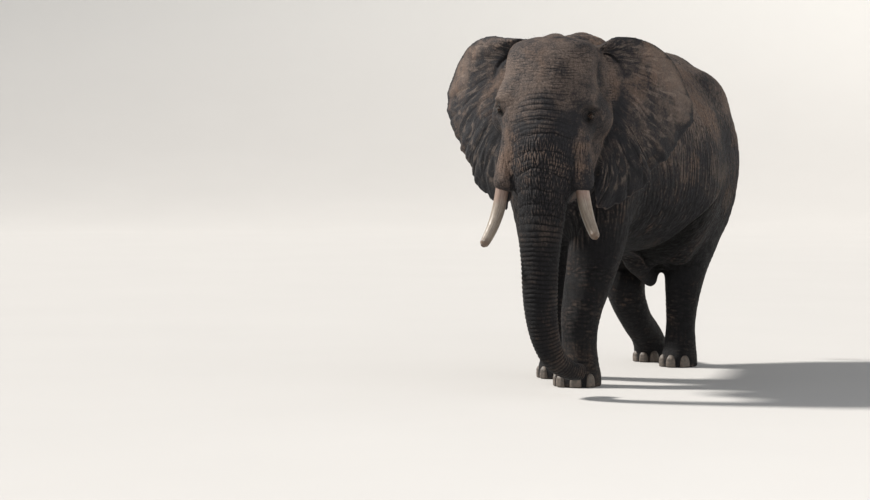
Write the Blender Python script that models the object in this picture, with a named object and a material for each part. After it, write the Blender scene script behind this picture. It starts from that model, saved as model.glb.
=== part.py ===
"""African bush elephant bull, walking: a still, life-size model in the parts a person would name.

Metres, +Z up. The bull faces -Y, its left side is +X. The flesh is modelled whole, as lofts and bulges melted
together, and is then parted into named pieces by thin cuts.
"""

import math

import bmesh
import bpy
import numpy as np
import openvdb
from mathutils import Matrix, Vector
from mathutils.bvhtree import BVHTree

# ---------------------------------------------------------------- driving dimensions
SHOULDER_HEIGHT = 3.2
DRAWN_HEIGHT = 3.2  # the shoulder height that the station tables below are drawn for
SCALE = SHOULDER_HEIGHT / DRAWN_HEIGHT

VOXEL = 0.025  # size of the grid on which the lofts melt into one body
BAND = 12  # how many voxels from a surface its distance is known
CUT = 0.0008  # width of the thin cuts between named pieces
FLESH_TRIANGLES = 3300
GAP = 0.0010  # clearance round a piece that is set into another
EAR_ROWS = 60
EAR_ACROSS = 24
EAR_TRIANGLES = 440
EYE_RADIUS = 0.032
EYE_PROUD = 0.017
EYE_AHEAD = 0.165  # how far the eyes sit in front of the middle of the head
EYE_TILT = 0.032  # how far the right eye is above the middle, and the left one below it
NAIL_WIDTH = 0.105

HEAD_YAW = math.radians(15)  # head and neck turned to the bull's left
HEAD_AT = Vector((0.424, -1.507, 2.42))  # midpoint between the eyes
SKIN = (0.075, 0.066, 0.062, 1.0)
IVORY = (0.72, 0.64, 0.50, 1.0)
HORN = (0.22, 0.19, 0.16, 1.0)
EYE = (0.05, 0.028, 0.015, 1.0)
BRISTLE = (0.02, 0.018, 0.017, 1.0)

SIDES = (("left", 1), ("right", -1))


# ---------------------------------------------------------------- shape helpers
def smooth_table(rows, count):
    """Rows of numbers run through by a smooth curve, resampled at count places."""
    rows = np.array(rows, float)
    slopes = np.gradient(rows, axis=0)
    places = np.linspace(0, len(rows) - 1, count)
    low = np.minimum(places.astype(int), len(rows) - 2)
    t = (places - low)[:, None]
    a, b, da, db = rows[low], rows[low + 1], slopes[low], slopes[low + 1]
    blend = a * (2 * t**3 - 3 * t**2 + 1) + da * (t**3 - 2 * t**2 + t)
    return (blend + b * (3 * t**2 - 2 * t**3) + db * (t**3 - t**2)).tolist()


def oval(centre, side, rise, half, up, down, power, around=40, crest=None):
    """A closed superellipse ring: half its width along side, up and down its reaches along rise."""
    ring = []
    low = power
    for k in range(around):
        angle = 2 * math.pi * k / around
        c, s = math.cos(angle), math.sin(angle)
        power = crest if crest and s > 0 else low
        across = half * math.copysign(abs(c) ** (2 / power), c)
        along = (up if s > 0 else down) * math.copysign(abs(s) ** (2 / power), s)
        ring.append(Vector(centre) + across * Vector(side) + along * Vector(rise))
    return ring


def new_object(name, points, faces):
    mesh = bpy.data.meshes.new(name)
    mesh.from_pydata([tuple(p) for p in points], [], faces)
    body = bpy.data.objects.new(name, mesh)
    bpy.context.collection.objects.link(body)
    tidy = bmesh.new()
    tidy.from_mesh(mesh)
    bmesh.ops.recalc_face_normals(tidy, faces=tidy.faces)
    tidy.to_mesh(mesh)
    tidy.free()
    return body


def loft(name, rings):
    """A closed body through rings of equal count."""
    around = len(rings[0])
    points = [p for ring in rings for p in ring]
    faces = []
    for r in range(len(rings) - 1):
        for k in range(around):
            n = (k + 1) % around
            faces.append((r * around + k, r * around + n, (r + 1) * around + n, (r + 1) * around + k))
    for r in (0, len(rings) - 1):
        hub = len(points)
        points.append(sum(rings[r], Vector()) / around)
        faces += [(r * around + k, r * around + (k + 1) % around, hub) for k in range(around)]
    return new_object(name, points, faces)


def spine_loft(name, rows, count, across=Vector((1, 0, 0)), around=36):
    """A limb along a spine. Each row: x, y, z, half width across, reach in front, reach behind, power."""
    fine = smooth_table(rows, count)
    path = [Vector(r[:3]) for r in fine]
    rings = []
    for k, row in enumerate(fine):
        along = (path[min(k + 1, count - 1)] - path[max(k - 1, 0)]).normalized()
        front = along.cross(across).normalized()
        side = front.cross(along).normalized()
        rings.append(oval(path[k], side, front, row[3], row[4], row[5], row[6], around))
    return loft(name, rings)


def level_loft(name, rows, count, around=36):
    """A body of level slices. Each row: z, x centre, y centre, half width, reach forward, reach back, power."""
    rings = []
    for z, x, y, half, fore, back, power in smooth_table(rows, count):
        rings.append(oval((x, y, z), (1, 0, 0), (0, -1, 0), half, fore, back, power, around))
    return loft(name, rings)


def bulge(name, centre, radii, turn=(0, 0, 0)):
    """An ellipsoid of flesh or bone. turn: degrees about x, y, z."""
    mesh = bpy.data.meshes.new(name)
    ball = bmesh.new()
    bmesh.ops.create_icosphere(ball, subdivisions=4, radius=1)
    turned = Matrix.LocRotScale(Vector(centre), euler(turn), Vector(radii))
    bmesh.ops.transform(ball, matrix=turned, verts=ball.verts)
    ball.to_mesh(mesh)
    ball.free()
    body = bpy.data.objects.new(name, mesh)
    bpy.context.collection.objects.link(body)
    return body


def euler(degrees):
    return Matrix.Rotation(math.radians(degrees[2]), 3, "Z") @ (
        Matrix.Rotation(math.radians(degrees[1]), 3, "Y") @ Matrix.Rotation(math.radians(degrees[0]), 3, "X")
    )


def capsule(name, start, end, first, last):
    """A tapered rod with round ends."""
    start, end = Vector(start), Vector(end)
    along = (end - start).normalized()
    across = along.orthogonal().normalized()
    other = along.cross(across)
    rings = []
    steps = 8
    for k in range(1, steps):
        a = math.pi / 2 * (k / steps - 1)
        rings.append(oval(start + along * first * math.sin(a), across, other, *[first * math.cos(a)] * 3, 2))
    for k in range(9):
        t = k / 8
        r = first * (1 - t) + last * t
        rings.append(oval(start.lerp(end, t), across, other, r, r, r, 2))
    for k in range(1, steps):
        a = math.pi / 2 * k / steps
        rings.append(oval(end + along * last * math.sin(a), across, other, *[last * math.cos(a)] * 3, 2))
    return loft(name, rings)


def place(bodies, matrix):
    for body in bodies:
        body.data.transform(matrix)
    return bodies


def distances(body, low, shape):
    """Signed distances to the body's surface at every point of the grid, known within the band."""
    mesh = body.data
    mesh.calc_loop_triangles()
    points = np.empty(len(mesh.vertices) * 3, np.float32)
    mesh.vertices.foreach_get("co", points)
    corners = np.empty(len(mesh.loop_triangles) * 3, np.int32)
    mesh.loop_triangles.foreach_get("vertices", corners)
    grid = openvdb.FloatGrid.createLevelSetFromPolygons(
        points.reshape(-1, 3),
        triangles=corners.reshape(-1, 3).astype(np.uint32),
        transform=openvdb.createLinearTransform(voxelSize=VOXEL),
        halfWidth=BAND,
    )
    field = np.empty(shape, np.float32)
    grid.copyToArray(field, ijk=tuple(int(v) for v in low))
    return field


def melted(name, parts):
    """Bodies melted into one. Each part is (bodies, blend): blend is how wide its joins are rounded over."""
    bodies = [body for group, _ in parts for body in group]
    corners = np.array([v.co for body in bodies for v in body.data.vertices])
    low = np.floor(corners.min(axis=0) / VOXEL).astype(int) - 6
    shape = tuple(np.ceil(corners.max(axis=0) / VOXEL).astype(int) + 6 - low)
    whole = np.full(shape, BAND * VOXEL, np.float32)
    for group, blend in parts:
        for body in group:
            field = distances(body, low, shape)
            near = np.maximum(blend - np.abs(whole - field), 0) / blend
            whole = np.minimum(whole, field) - near * near * blend / 4
            bpy.data.objects.remove(body)
    grid = openvdb.FloatGrid(BAND * VOXEL)
    grid.copyFromArray(whole, ijk=tuple(int(v) for v in low))
    grid.transform = openvdb.createLinearTransform(voxelSize=VOXEL)
    points, quads = grid.convertToQuads(isovalue=0.0)
    return new_object(name, points.tolist(), quads.tolist())


def applied(body, kind, **settings):
    """Adds a modifier and bakes its result into the mesh."""
    modifier = body.modifiers.new(kind, kind)
    for name, value in settings.items():
        setattr(modifier, name, value)
    graph = bpy.context.evaluated_depsgraph_get()
    mesh = bpy.data.meshes.new_from_object(body.evaluated_get(graph))
    body.modifiers.clear()
    body.data = mesh
    return body


# ---------------------------------------------------------------- torso and neck
def make_torso():
    # y, top, widest level, bottom, half width, power of the belly, power of the back
    rows = (
        (-0.76, 2.25, 2.00, 1.80, 0.16, 2.0, 2.0),
        (-0.66, 2.60, 2.05, 1.56, 0.36, 2.1, 2.0),
        (-0.38, 2.98, 2.05, 1.34, 0.56, 2.1, 1.9),
        (0.00, 3.12, 2.00, 1.25, 0.64, 2.2, 1.8),
        (0.45, 3.07, 1.92, 1.20, 0.72, 2.2, 1.85),
        (0.95, 2.98, 1.86, 1.12, 0.78, 2.2, 1.95),
        (1.35, 2.98, 1.84, 1.00, 0.80, 2.2, 1.95),
        (1.85, 3.04, 1.95, 1.06, 0.70, 2.2, 1.9),
        (2.25, 2.94, 2.02, 1.28, 0.62, 2.1, 1.9),
        (2.55, 2.68, 2.02, 1.54, 0.46, 2.0, 2.0),
        (2.68, 2.44, 2.02, 1.72, 0.29, 2.0, 2.0),
        (2.74, 2.20, 2.02, 1.86, 0.12, 2.0, 2.0),
    )
    rings = []
    for y, top, wide, low, half, power, crest in smooth_table(rows, 70):
        up, down = top - wide, wide - low
        rings.append(oval((0, y, wide), (1, 0, 0), (0, 0, 1), half, up, down, power, 48, crest))
    torso = [loft("torso", rings)]
    lumps = [
        bulge("withers", (0, 0.02, 2.92), (0.17, 0.40, 0.27)),
        bulge("croup", (0, 1.90, 2.76), (0.24, 0.45, 0.29)),
        capsule("spine", (0, 0.3, 2.98), (0, 1.7, 2.93), 0.09, 0.10),
        capsule("sheath", (0, 1.25, 1.02), (0, 1.57, 0.84), 0.11, 0.06),
        capsule("groin_fold", (0, 1.50, 0.93), (0.02, 1.95, 1.12), 0.06, 0.12),
    ]
    for name, s in SIDES:
        lumps += [
            bulge("shoulder_blade_" + name, (s * 0.27, 0.00, 2.63), (0.17, 0.24, 0.50), (0, s * -14, 0)),
            bulge("shoulder_muscle_" + name, (s * 0.44, -0.16, 2.10), (0.16, 0.30, 0.42)),
            bulge("hip_" + name, (s * 0.29, 2.03, 2.59), (0.26, 0.42, 0.28), (-14, s * 12, 0)),
            bulge("thigh_" + name, (s * 0.37, 2.10, 1.75), (0.21, 0.38, 0.50)),
            capsule("flank_fold_" + name, (s * 0.56, 1.40, 1.60), (s * 0.36, 1.46, 1.12), 0.14, 0.10),
        ]
    return torso, lumps


def make_neck():
    # along the neck: x, y, z, half width, up, down, power; the spine runs from head to shoulders
    rows = (
        (0.33, -1.22, 2.40, 0.38, 0.52, 0.54, 2.1),
        (0.27, -1.00, 2.38, 0.40, 0.58, 0.60, 2.1),
        (0.17, -0.72, 2.35, 0.43, 0.66, 0.70, 2.1),
        (0.06, -0.40, 2.28, 0.48, 0.78, 0.80, 2.1),
        (0.00, -0.10, 2.20, 0.52, 0.88, 0.84, 2.1),
    )
    fine = smooth_table(rows, 20)
    rings = []
    for k, row in enumerate(fine):
        a, b = Vector(fine[max(k - 1, 0)][:3]), Vector(fine[min(k + 1, len(fine) - 1)][:3])
        along = (b - a).normalized()
        side = along.cross(Vector((0, 0, 1))).normalized()
        rings.append(oval(row[:3], side, (0, 0, 1), row[3], row[4], row[5], row[6], 40, 1.9))
    return [loft("neck", rings)]


# ---------------------------------------------------------------- head
def to_head():
    return Matrix.Translation(HEAD_AT) @ Matrix.Rotation(HEAD_YAW, 4, "Z")


def make_head():
    # z, x, y, half width, reach forward, reach back, power; from the point between the eyes
    skull = (
        (0.655, 0, 0.14, 0.15, 0.12, 0.16, 2.0),
        (0.60, 0, 0.15, 0.33, 0.26, 0.28, 2.1),
        (0.48, 0, 0.16, 0.40, 0.38, 0.38, 2.2),
        (0.30, 0, 0.16, 0.415, 0.46, 0.44, 2.3),
        (0.10, 0, 0.16, 0.41, 0.51, 0.46, 2.4),
        (-0.10, 0, 0.16, 0.40, 0.54, 0.44, 2.4),
        (-0.30, 0, 0.14, 0.35, 0.54, 0.40, 2.3),
        (-0.50, 0, 0.10, 0.31, 0.46, 0.34, 2.2),
        (-0.66, 0, 0.04, 0.27, 0.36, 0.26, 2.1),
        (-0.76, 0, 0.00, 0.20, 0.28, 0.18, 2.0),
    )
    features = []
    for name, s in SIDES:
        features += [
            bulge("brow_" + name, (s * 0.29, -0.04, 0.12), (0.14, 0.24, 0.15), (0, s * 15, s * 10)),
            bulge("cheekbone_" + name, (s * 0.39, 0.13, -0.03), (0.135, 0.23, 0.16), (-12, 0, 0)),
            bulge("temple_" + name, (s * 0.31, 0.36, 0.14), (0.165, 0.19, 0.42)),
            bulge("jowl_" + name, (s * 0.26, 0.24, -0.38), (0.15, 0.22, 0.34)),
            capsule("tusk_sheath_" + name, (s * 0.205, -0.14, -0.10), (s * 0.338, -0.25, -0.578), 0.15, 0.098),
        ]
    features.append(bulge("nape", (-0.03, 0.42, 0.52), (0.14, 0.20, 0.18)))
    skull = [level_loft("skull", skull, 40, 40)]
    trunk = make_trunk()
    place(skull + features + trunk, to_head())
    return skull, features, trunk


def make_jaw():
    jaw = [
        capsule("lower_jaw", (0, 0.18, -0.60), (0, -0.12, -0.80), 0.19, 0.11),
        bulge("lower_lip", (0, -0.20, -0.82), (0.11, 0.12, 0.07), (-25, 0, 0)),
    ]
    return place(jaw, to_head())


def make_trunk():
    # x, y, z from between the eyes, half width, reach in front, reach behind, power
    rows = (
        (0.00, -0.06, 0.32, 0.15, 0.15, 0.15, 2.1),
        (0.00, -0.13, 0.12, 0.21, 0.21, 0.20, 2.1),
        (0.00, -0.18, -0.12, 0.25, 0.24, 0.20, 2.1),
        (0.00, -0.23, -0.38, 0.25, 0.25, 0.20, 2.1),
        (0.00, -0.27, -0.62, 0.230, 0.22, 0.20, 2.1),
        (0.00, -0.31, -0.84, 0.203, 0.19, 0.19, 2.1),
        (-0.01, -0.34, -1.06, 0.184, 0.172, 0.17, 2.1),
        (-0.01, -0.35, -1.28, 0.163, 0.155, 0.150, 2.0),
        (-0.01, -0.35, -1.50, 0.153, 0.146, 0.140, 2.0),
        (0.00, -0.33, -1.72, 0.140, 0.134, 0.130, 2.0),
        (0.03, -0.29, -1.92, 0.124, 0.118, 0.116, 2.0),
        (0.09, -0.21, -2.09, 0.106, 0.100, 0.100, 2.0),
        (0.19, -0.08, -2.19, 0.090, 0.082, 0.080, 2.0),
        (0.27, 0.02, -2.21, 0.080, 0.072, 0.070, 2.0),
    )
    return [spine_loft("trunk", rows, 90, around=36)]


# ---------------------------------------------------------------- legs
def make_legs():
    # z, x, y, half width, reach forward, reach back, power
    fore_left = (
        (-0.06, 0.25, -0.57, 0.21, 0.23, 0.21, 2.0),
        (0.10, 0.25, -0.57, 0.205, 0.23, 0.21, 2.0),
        (0.22, 0.25, -0.56, 0.18, 0.20, 0.19, 2.0),
        (0.38, 0.25, -0.55, 0.158, 0.17, 0.17, 2.0),
        (0.63, 0.26, -0.535, 0.180, 0.19, 0.19, 2.0),
        (0.97, 0.30, -0.44, 0.225, 0.22, 0.26, 2.0),
        (1.25, 0.34, -0.39, 0.25, 0.25, 0.33, 2.0),
        (1.60, 0.37, -0.32, 0.25, 0.30, 0.38, 2.0),
        (2.05, 0.38, -0.18, 0.23, 0.34, 0.38, 2.0),
        (2.50, 0.28, -0.04, 0.20, 0.30, 0.32, 2.0),
        (2.80, 0.18, 0.04, 0.12, 0.20, 0.20, 2.0),
    )
    fore_right = (
        (-0.06, -0.25, 0.10, 0.21, 0.23, 0.21, 2.0),
        (0.10, -0.25, 0.10, 0.205, 0.23, 0.21, 2.0),
        (0.22, -0.25, 0.10, 0.18, 0.20, 0.19, 2.0),
        (0.38, -0.25, 0.09, 0.158, 0.17, 0.17, 2.0),
        (0.63, -0.26, 0.04, 0.180, 0.19, 0.19, 2.0),
        (0.97, -0.30, -0.04, 0.215, 0.22, 0.25, 2.0),
        (1.25, -0.33, -0.10, 0.225, 0.25, 0.32, 2.0),
        (1.60, -0.36, -0.14, 0.22, 0.30, 0.38, 2.0),
        (2.05, -0.38, -0.12, 0.22, 0.34, 0.38, 2.0),
        (2.50, -0.28, -0.02, 0.20, 0.30, 0.32, 2.0),
        (2.80, -0.18, 0.04, 0.12, 0.20, 0.20, 2.0),
    )
    hind_left = (
        (-0.06, 0.23, 1.76, 0.175, 0.21, 0.19, 2.0),
        (0.10, 0.23, 1.76, 0.17, 0.21, 0.18, 2.0),
        (0.22, 0.23, 1.77, 0.155, 0.18, 0.17, 2.0),
        (0.40, 0.23, 1.78, 0.142, 0.155, 0.16, 2.0),
        (0.64, 0.24, 1.79, 0.160, 0.175, 0.20, 2.0),
        (0.92, 0.27, 1.80, 0.195, 0.24, 0.27, 2.0),
        (1.20, 0.31, 1.87, 0.23, 0.32, 0.38, 2.0),
        (1.60, 0.35, 2.00, 0.25, 0.40, 0.46, 2.0),
        (2.05, 0.35, 2.08, 0.26, 0.42, 0.46, 2.0),
        (2.50, 0.28, 2.08, 0.22, 0.34, 0.38, 2.0),
        (2.75, 0.18, 2.02, 0.12, 0.16, 0.20, 2.0),
    )
    legs = [level_loft("fore_left", fore_left, 60), level_loft("fore_right", fore_right, 60)]
    legs.append(level_loft("hind_left", hind_left, 60))
    # the right hind leg pushes off: x, y, z, half width, reach forward, reach back, power
    hind_right = (
        (-0.18, 2.04, 2.72, 0.14, 0.18, 0.20, 2.0),
        (-0.28, 2.08, 2.48, 0.22, 0.34, 0.38, 2.0),
        (-0.35, 2.06, 2.05, 0.26, 0.42, 0.46, 2.0),
        (-0.35, 1.94, 1.60, 0.25, 0.40, 0.44, 2.0),
        (-0.33, 1.78, 1.20, 0.23, 0.34, 0.36, 2.0),
        (-0.31, 1.64, 0.90, 0.205, 0.25, 0.28, 2.0),
        (-0.29, 1.67, 0.66, 0.175, 0.195, 0.22, 2.0),
        (-0.27, 1.84, 0.44, 0.150, 0.165, 0.170, 2.0),
        (-0.26, 2.04, 0.28, 0.150, 0.165, 0.170, 2.0),
        (-0.26, 2.16, 0.15, 0.165, 0.190, 0.180, 2.0),
        (-0.26, 2.18, 0.04, 0.172, 0.200, 0.180, 2.0),
        (-0.26, 2.18, -0.06, 0.172, 0.200, 0.180, 2.0),
    )
    legs.append(spine_loft("hind_right", hind_right, 70))
    return legs


# ---------------------------------------------------------------- ears
def make_ear(name, s, spread, lift, root_top, rim_top):
    """One ear: a curved blade from its root line on the head to the rim. lift turns it up in its own plane.

    root_top and rim_top: how high the upper edge starts on the head, and at the rim's inner end."""
    # the root on the head: x, y, z
    root = smooth_table(
        (
            (0.16, 0.36, root_top),
            (0.34, 0.38, 0.50),
            (0.44, 0.38, 0.36),
            (0.45, 0.36, 0.10),
            (0.42, 0.34, -0.14),
            (0.34, 0.30, -0.36),
        ),
        EAR_ROWS,
    )
    # the rim in the ear's own plane: outward, up, towards the face
    rim = smooth_table(
        (
            (-0.10, rim_top, 0.00),
            (0.08, 0.66, 0.01),
            (0.36, 0.653, 0.02),
            (0.651, 0.561, 0.00),
            (0.90, 0.372, -0.04),
            (1.095, 0.02, -0.06),
            (0.94, -0.19, -0.04),
            (0.712, -0.384, 0.00),
            (0.50, -0.50, 0.03),
            (0.41, -0.63, 0.04),
            (0.17, -0.75, 0.04),
            (-0.12, -0.83, 0.06),
            (-0.21, -0.70, 0.08),
            (-0.20, -0.52, 0.06),
        ),
        EAR_ROWS,
    )
    out = Vector((math.sin(spread), math.cos(spread), 0))
    face = Vector((math.cos(spread), -math.sin(spread), 0))
    up = Vector((0, 0, 1))
    hinge = Vector((0.44, 0.36, 0))
    front, back = [], []
    c, d = math.cos(lift), math.sin(lift)
    for r, e in zip(root, rim):
        a = Vector(r)
        b = hinge + out * (c * e[0] - d * e[1]) + up * (d * e[0] + c * e[1]) + face * e[2]
        for k in range(EAR_ACROSS + 1):
            t = k / EAR_ACROSS
            bow = 0.09 * math.sin(math.pi * t)
            middle = a.lerp(b, t) + face * bow
            thick = 0.030 * (1 - t) + 0.012 * t
            front.append(middle + face * thick)
            back.append(middle - face * thick)
    wide = EAR_ACROSS + 1
    rows = len(root)
    points = front + back
    base = len(front)
    faces = []
    for r in range(rows - 1):
        for k in range(EAR_ACROSS):
            i = r * wide + k
            faces.append((i, i + 1, i + wide + 1, i + wide))
            faces.append((base + i, base + i + wide, base + i + wide + 1, base + i + 1))
    for r in range(rows - 1):
        for k in (0, EAR_ACROSS):
            i = r * wide + k
            faces.append((i, i + wide, base + i + wide, base + i))
    for k in range(EAR_ACROSS):
        for r in (0, rows - 1):
            i = r * wide + k
            faces.append((i, i + 1, base + i + 1, base + i))
    ear = new_object(name, [Vector((s * p.x, p.y, p.z)) for p in points], faces)
    applied(ear, "REMESH", mode="VOXEL", voxel_size=0.009)
    applied(ear, "DECIMATE", use_collapse_triangulate=True, ratio=EAR_TRIANGLES / (2 * len(ear.data.polygons)))
    return place([ear], to_head())[0]


# ---------------------------------------------------------------- tusks
def make_tusk(name, s, root, splay, drop):
    """A tusk that leaves the lip root out from the middle, leans out by splay and hangs down by drop."""
    rows = []
    for t, radius in ((-0.35, 0.054), (0.0, 0.056), (0.3, 0.056), (0.6, 0.053), (0.85, 0.050), (1.0, 0.045)):
        x = root + splay * (0.45 * t + 0.55 * t * max(t, 0))
        y = -0.255 - 0.05 * t - 0.17 * max(t, 0) ** 2
        z = -0.66 - drop * (t - 0.12 * max(t, 0) ** 2) / 0.88
        rows.append((s * x, y, z, radius, radius, radius, 2.0))
    tusk = spine_loft(name, rows, 9, around=10)
    return place([tusk], to_head())[0]


def make_tail():
    rows = (
        (0.00, 2.42, 2.64, 0.12, 0.12, 0.12, 2.0),
        (0.00, 2.68, 2.52, 0.085, 0.085, 0.085, 2.0),
        (0.01, 2.84, 2.30, 0.055, 0.06, 0.06, 2.0),
        (0.03, 2.89, 2.00, 0.042, 0.045, 0.045, 2.0),
        (0.05, 2.91, 1.70, 0.034, 0.034, 0.034, 2.0),
        (0.06, 2.92, 1.42, 0.028, 0.028, 0.028, 2.0),
    )
    return [spine_loft("tail", rows, 40, around=16)]


# ---------------------------------------------------------------- fine pieces and thin cuts
def surface(body):
    """A search tree over the body's faces."""
    graph = bpy.context.evaluated_depsgraph_get()
    graph.update()
    return BVHTree.FromObject(body, graph)


def differ(body, cutter):
    """Cuts the cutter out of the body, and removes the cutter."""
    applied(body, "BOOLEAN", operation="DIFFERENCE", solver="EXACT", object=cutter)
    bpy.data.objects.remove(cutter)
    return body


def swollen(body, by):
    """A copy whose surface lies a little further out."""
    copy = bpy.data.objects.new("swollen", body.data.copy())
    bpy.context.collection.objects.link(copy)
    for vertex in copy.data.vertices:
        vertex.co += vertex.normal * by
    return copy


def slab(centre, normal, size):
    """A thin square box that cuts across the normal."""
    mesh = bpy.data.meshes.new("slab")
    box = bmesh.new()
    bmesh.ops.create_cube(box, size=1)
    turn = Vector(normal).to_track_quat("Z", "Y")
    placed = Matrix.LocRotScale(Vector(centre), turn, Vector((size, size, CUT)))
    bmesh.ops.transform(box, matrix=placed, verts=box.verts)
    box.to_mesh(mesh)
    box.free()
    body = bpy.data.objects.new("slab", mesh)
    bpy.context.collection.objects.link(body)
    return body


def above_floor(body):
    """Cuts off whatever lies below the floor."""
    whole = bmesh.new()
    whole.from_mesh(body.data)
    edge = whole.verts[:] + whole.edges[:] + whole.faces[:]
    cut = bmesh.ops.bisect_plane(
        whole, geom=edge, plane_co=(0, 0, 0), plane_no=(0, 0, 1), clear_inner=True, dist=1e-5
    )
    rim = [item for item in cut["geom_cut"] if isinstance(item, bmesh.types.BMEdge)]
    bmesh.ops.triangle_fill(whole, edges=rim, use_beauty=True, use_dissolve=True, normal=(0, 0, -1))
    bmesh.ops.recalc_face_normals(whole, faces=whole.faces)
    whole.to_mesh(body.data)
    whole.free()


def shells(body):
    """The body's loose shells as new objects, the longest first."""
    whole = bmesh.new()
    whole.from_mesh(body.data)
    left = set(whole.verts)
    groups = []
    while left:
        edge = [left.pop()]
        group = set(edge)
        while edge:
            for link in edge.pop().link_edges:
                for vertex in link.verts:
                    if vertex not in group:
                        group.add(vertex)
                        edge.append(vertex)
        left -= group
        groups.append(group)
    found = []
    for group in groups:
        order = {vertex: k for k, vertex in enumerate(sorted(group, key=lambda v: v.index))}
        faces = [[order[v] for v in face.verts] for face in whole.faces if face.verts[0] in group]
        found.append(new_object(body.name, [v.co for v in order], faces))
    whole.free()
    bpy.data.objects.remove(body)
    return sorted(found, key=lambda shell: -reach(shell))


def reach(body):
    """The diagonal of the body's box."""
    corners = np.array([v.co for v in body.data.vertices])
    return float(np.linalg.norm(corners.max(axis=0) - corners.min(axis=0)))


def join(name, bodies):
    """One object holding all the bodies' meshes."""
    whole = bmesh.new()
    for body in bodies:
        whole.from_mesh(body.data)
        bpy.data.objects.remove(body)
    mesh = bpy.data.meshes.new(name)
    whole.to_mesh(mesh)
    whole.free()
    joined = bpy.data.objects.new(name, mesh)
    bpy.context.collection.objects.link(joined)
    return joined


def largest(body):
    name = body.name
    first, *rest = shells(body)
    for shell in rest:
        bpy.data.objects.remove(shell)
    first.name = name
    return first


def make_eye(name, s, skin):
    """An eyeball that stands a little proud of the skin, below the brow."""
    matrix = to_head()
    start = matrix @ Vector((s * 0.9, -EYE_AHEAD, -s * EYE_TILT))
    inward = (matrix.to_3x3() @ Vector((-s, 0, 0))).normalized()
    spot = skin.ray_cast(start, inward)[0]
    centre = spot + inward * (EYE_RADIUS - EYE_PROUD)
    mesh = bpy.data.meshes.new(name)
    ball = bmesh.new()
    bmesh.ops.create_uvsphere(ball, u_segments=10, v_segments=7, radius=EYE_RADIUS)
    bmesh.ops.transform(ball, matrix=Matrix.Translation(centre), verts=ball.verts)
    ball.to_mesh(mesh)
    ball.free()
    body = bpy.data.objects.new(name, mesh)
    bpy.context.collection.objects.link(body)
    return body


def make_nails(name, centre, angles, skin, height=0.065):
    """Toenails on the front of a foot, at angles in degrees from straight ahead."""
    nails = []
    for k, angle in enumerate(angles):
        a = math.radians(angle)
        away = Vector((math.sin(a), -math.cos(a), 0))
        spot, normal = skin.ray_cast(Vector((*centre, height)) + away * 0.35, -away)[:2]
        level = Vector((normal.x, normal.y, 0)).normalized()
        turn = Matrix((level, Vector((-level.y, level.x, 0)), Vector((0, 0, 1)))).transposed()
        nail = bulge(f"{name}_{k + 1}", (0, 0, 0), (0.022, NAIL_WIDTH / 2, 0.055))
        nail.data.transform(Matrix.Translation(spot) @ turn.to_4x4())
        applied(nail, "DECIMATE", use_collapse_triangulate=True, ratio=0.018)
        nails.append(nail)
    return nails


def part_flesh(flesh):
    """Parts the flesh by thin cuts, and names what lies between them."""
    head = to_head()
    ahead = head.to_3x3() @ Vector((0, 1, 0))
    trunk_way = head.to_3x3() @ Vector((0.52, 0.68, -0.52))
    up = (0, 0, 1)
    cuts = [
        slab(head @ Vector((0, 0.63, 0.00)), ahead, 2.3),
        slab((0, -0.60, 2.35), (0, 1, -0.19), 2.2),
        slab((0, 0.55, 2.1), (0, 1, 0), 2.6),
        slab((0, 1.22, 2.1), (0, 1, 0), 2.7),
        slab((0.02, 2.90, 2.10), up, 0.22),
        slab(head @ Vector((0, -0.34, -1.02)), up, 0.6),
        slab(head @ Vector((0, -0.35, -1.40)), up, 0.6),
        slab(head @ Vector((0.0, -0.32, -1.78)), (0, 0.1, 1), 0.6),
        slab(head @ Vector((0.10, -0.20, -2.10)), trunk_way, 0.5),
        slab((0.40, -0.35, 1.08), up, 0.74),
        slab((-0.40, -0.03, 1.08), up, 0.74),
        slab((0.30, -0.54, 0.62), up, 0.54),
        slab((-0.30, 0.04, 0.62), up, 0.54),
        slab((0.30, -0.56, 0.24), up, 0.54),
        slab((-0.30, 0.09, 0.24), up, 0.54),
        slab((0.36, 1.79, 0.78), up, 0.68),
        slab((-0.36, 1.66, 0.76), (0, 0.2, 1), 0.68),
        slab((0.30, 1.77, 0.24), up, 0.54),
        slab((-0.30, 2.04, 0.27), (0, -0.6, 1), 0.54),
    ]
    differ(flesh, join("cuts", cuts))
    names = {
        "head": head @ Vector((0, 0, 0)),
        "trunk_upper": head @ Vector((0, -0.34, -1.20)),
        "trunk_middle": head @ Vector((0, -0.35, -1.60)),
        "trunk_lower": head @ Vector((0.03, -0.28, -1.95)),
        "trunk_tip": head @ Vector((0.20, -0.08, -2.18)),
        "neck": (0.15, -0.80, 2.35),
        "shoulders": (0, 0.0, 2.2),
        "barrel": (0, 0.9, 2.0),
        "hindquarters": (0, 2.0, 2.0),
        "forearm_left": (0.29, -0.47, 0.85),
        "forearm_right": (-0.29, 0.0, 0.85),
        "foreshank_left": (0.25, -0.55, 0.42),
        "foreshank_right": (-0.25, 0.08, 0.42),
        "forefoot_left": (0.25, -0.57, 0.12),
        "forefoot_right": (-0.25, 0.10, 0.12),
        "hindshank_left": (0.24, 1.79, 0.50),
        "hindshank_right": (-0.28, 1.80, 0.50),
        "hindfoot_left": (0.23, 1.76, 0.12),
        "hindfoot_right": (-0.26, 2.16, 0.12),
        "tail": (0.03, 2.86, 2.0),
    }
    pieces = shells(flesh)
    if len(pieces) != len(names):
        raise ValueError(f"the cuts left {len(pieces)} pieces of flesh, not {len(names)}")
    middles = [sum((v.co for v in piece.data.vertices), Vector()) / len(piece.data.vertices) for piece in pieces]
    for name, spot in names.items():
        k = min(range(len(pieces)), key=lambda i: (middles[i] - Vector(spot)).length)
        pieces.pop(k).name = name
        middles.pop(k)


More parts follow.
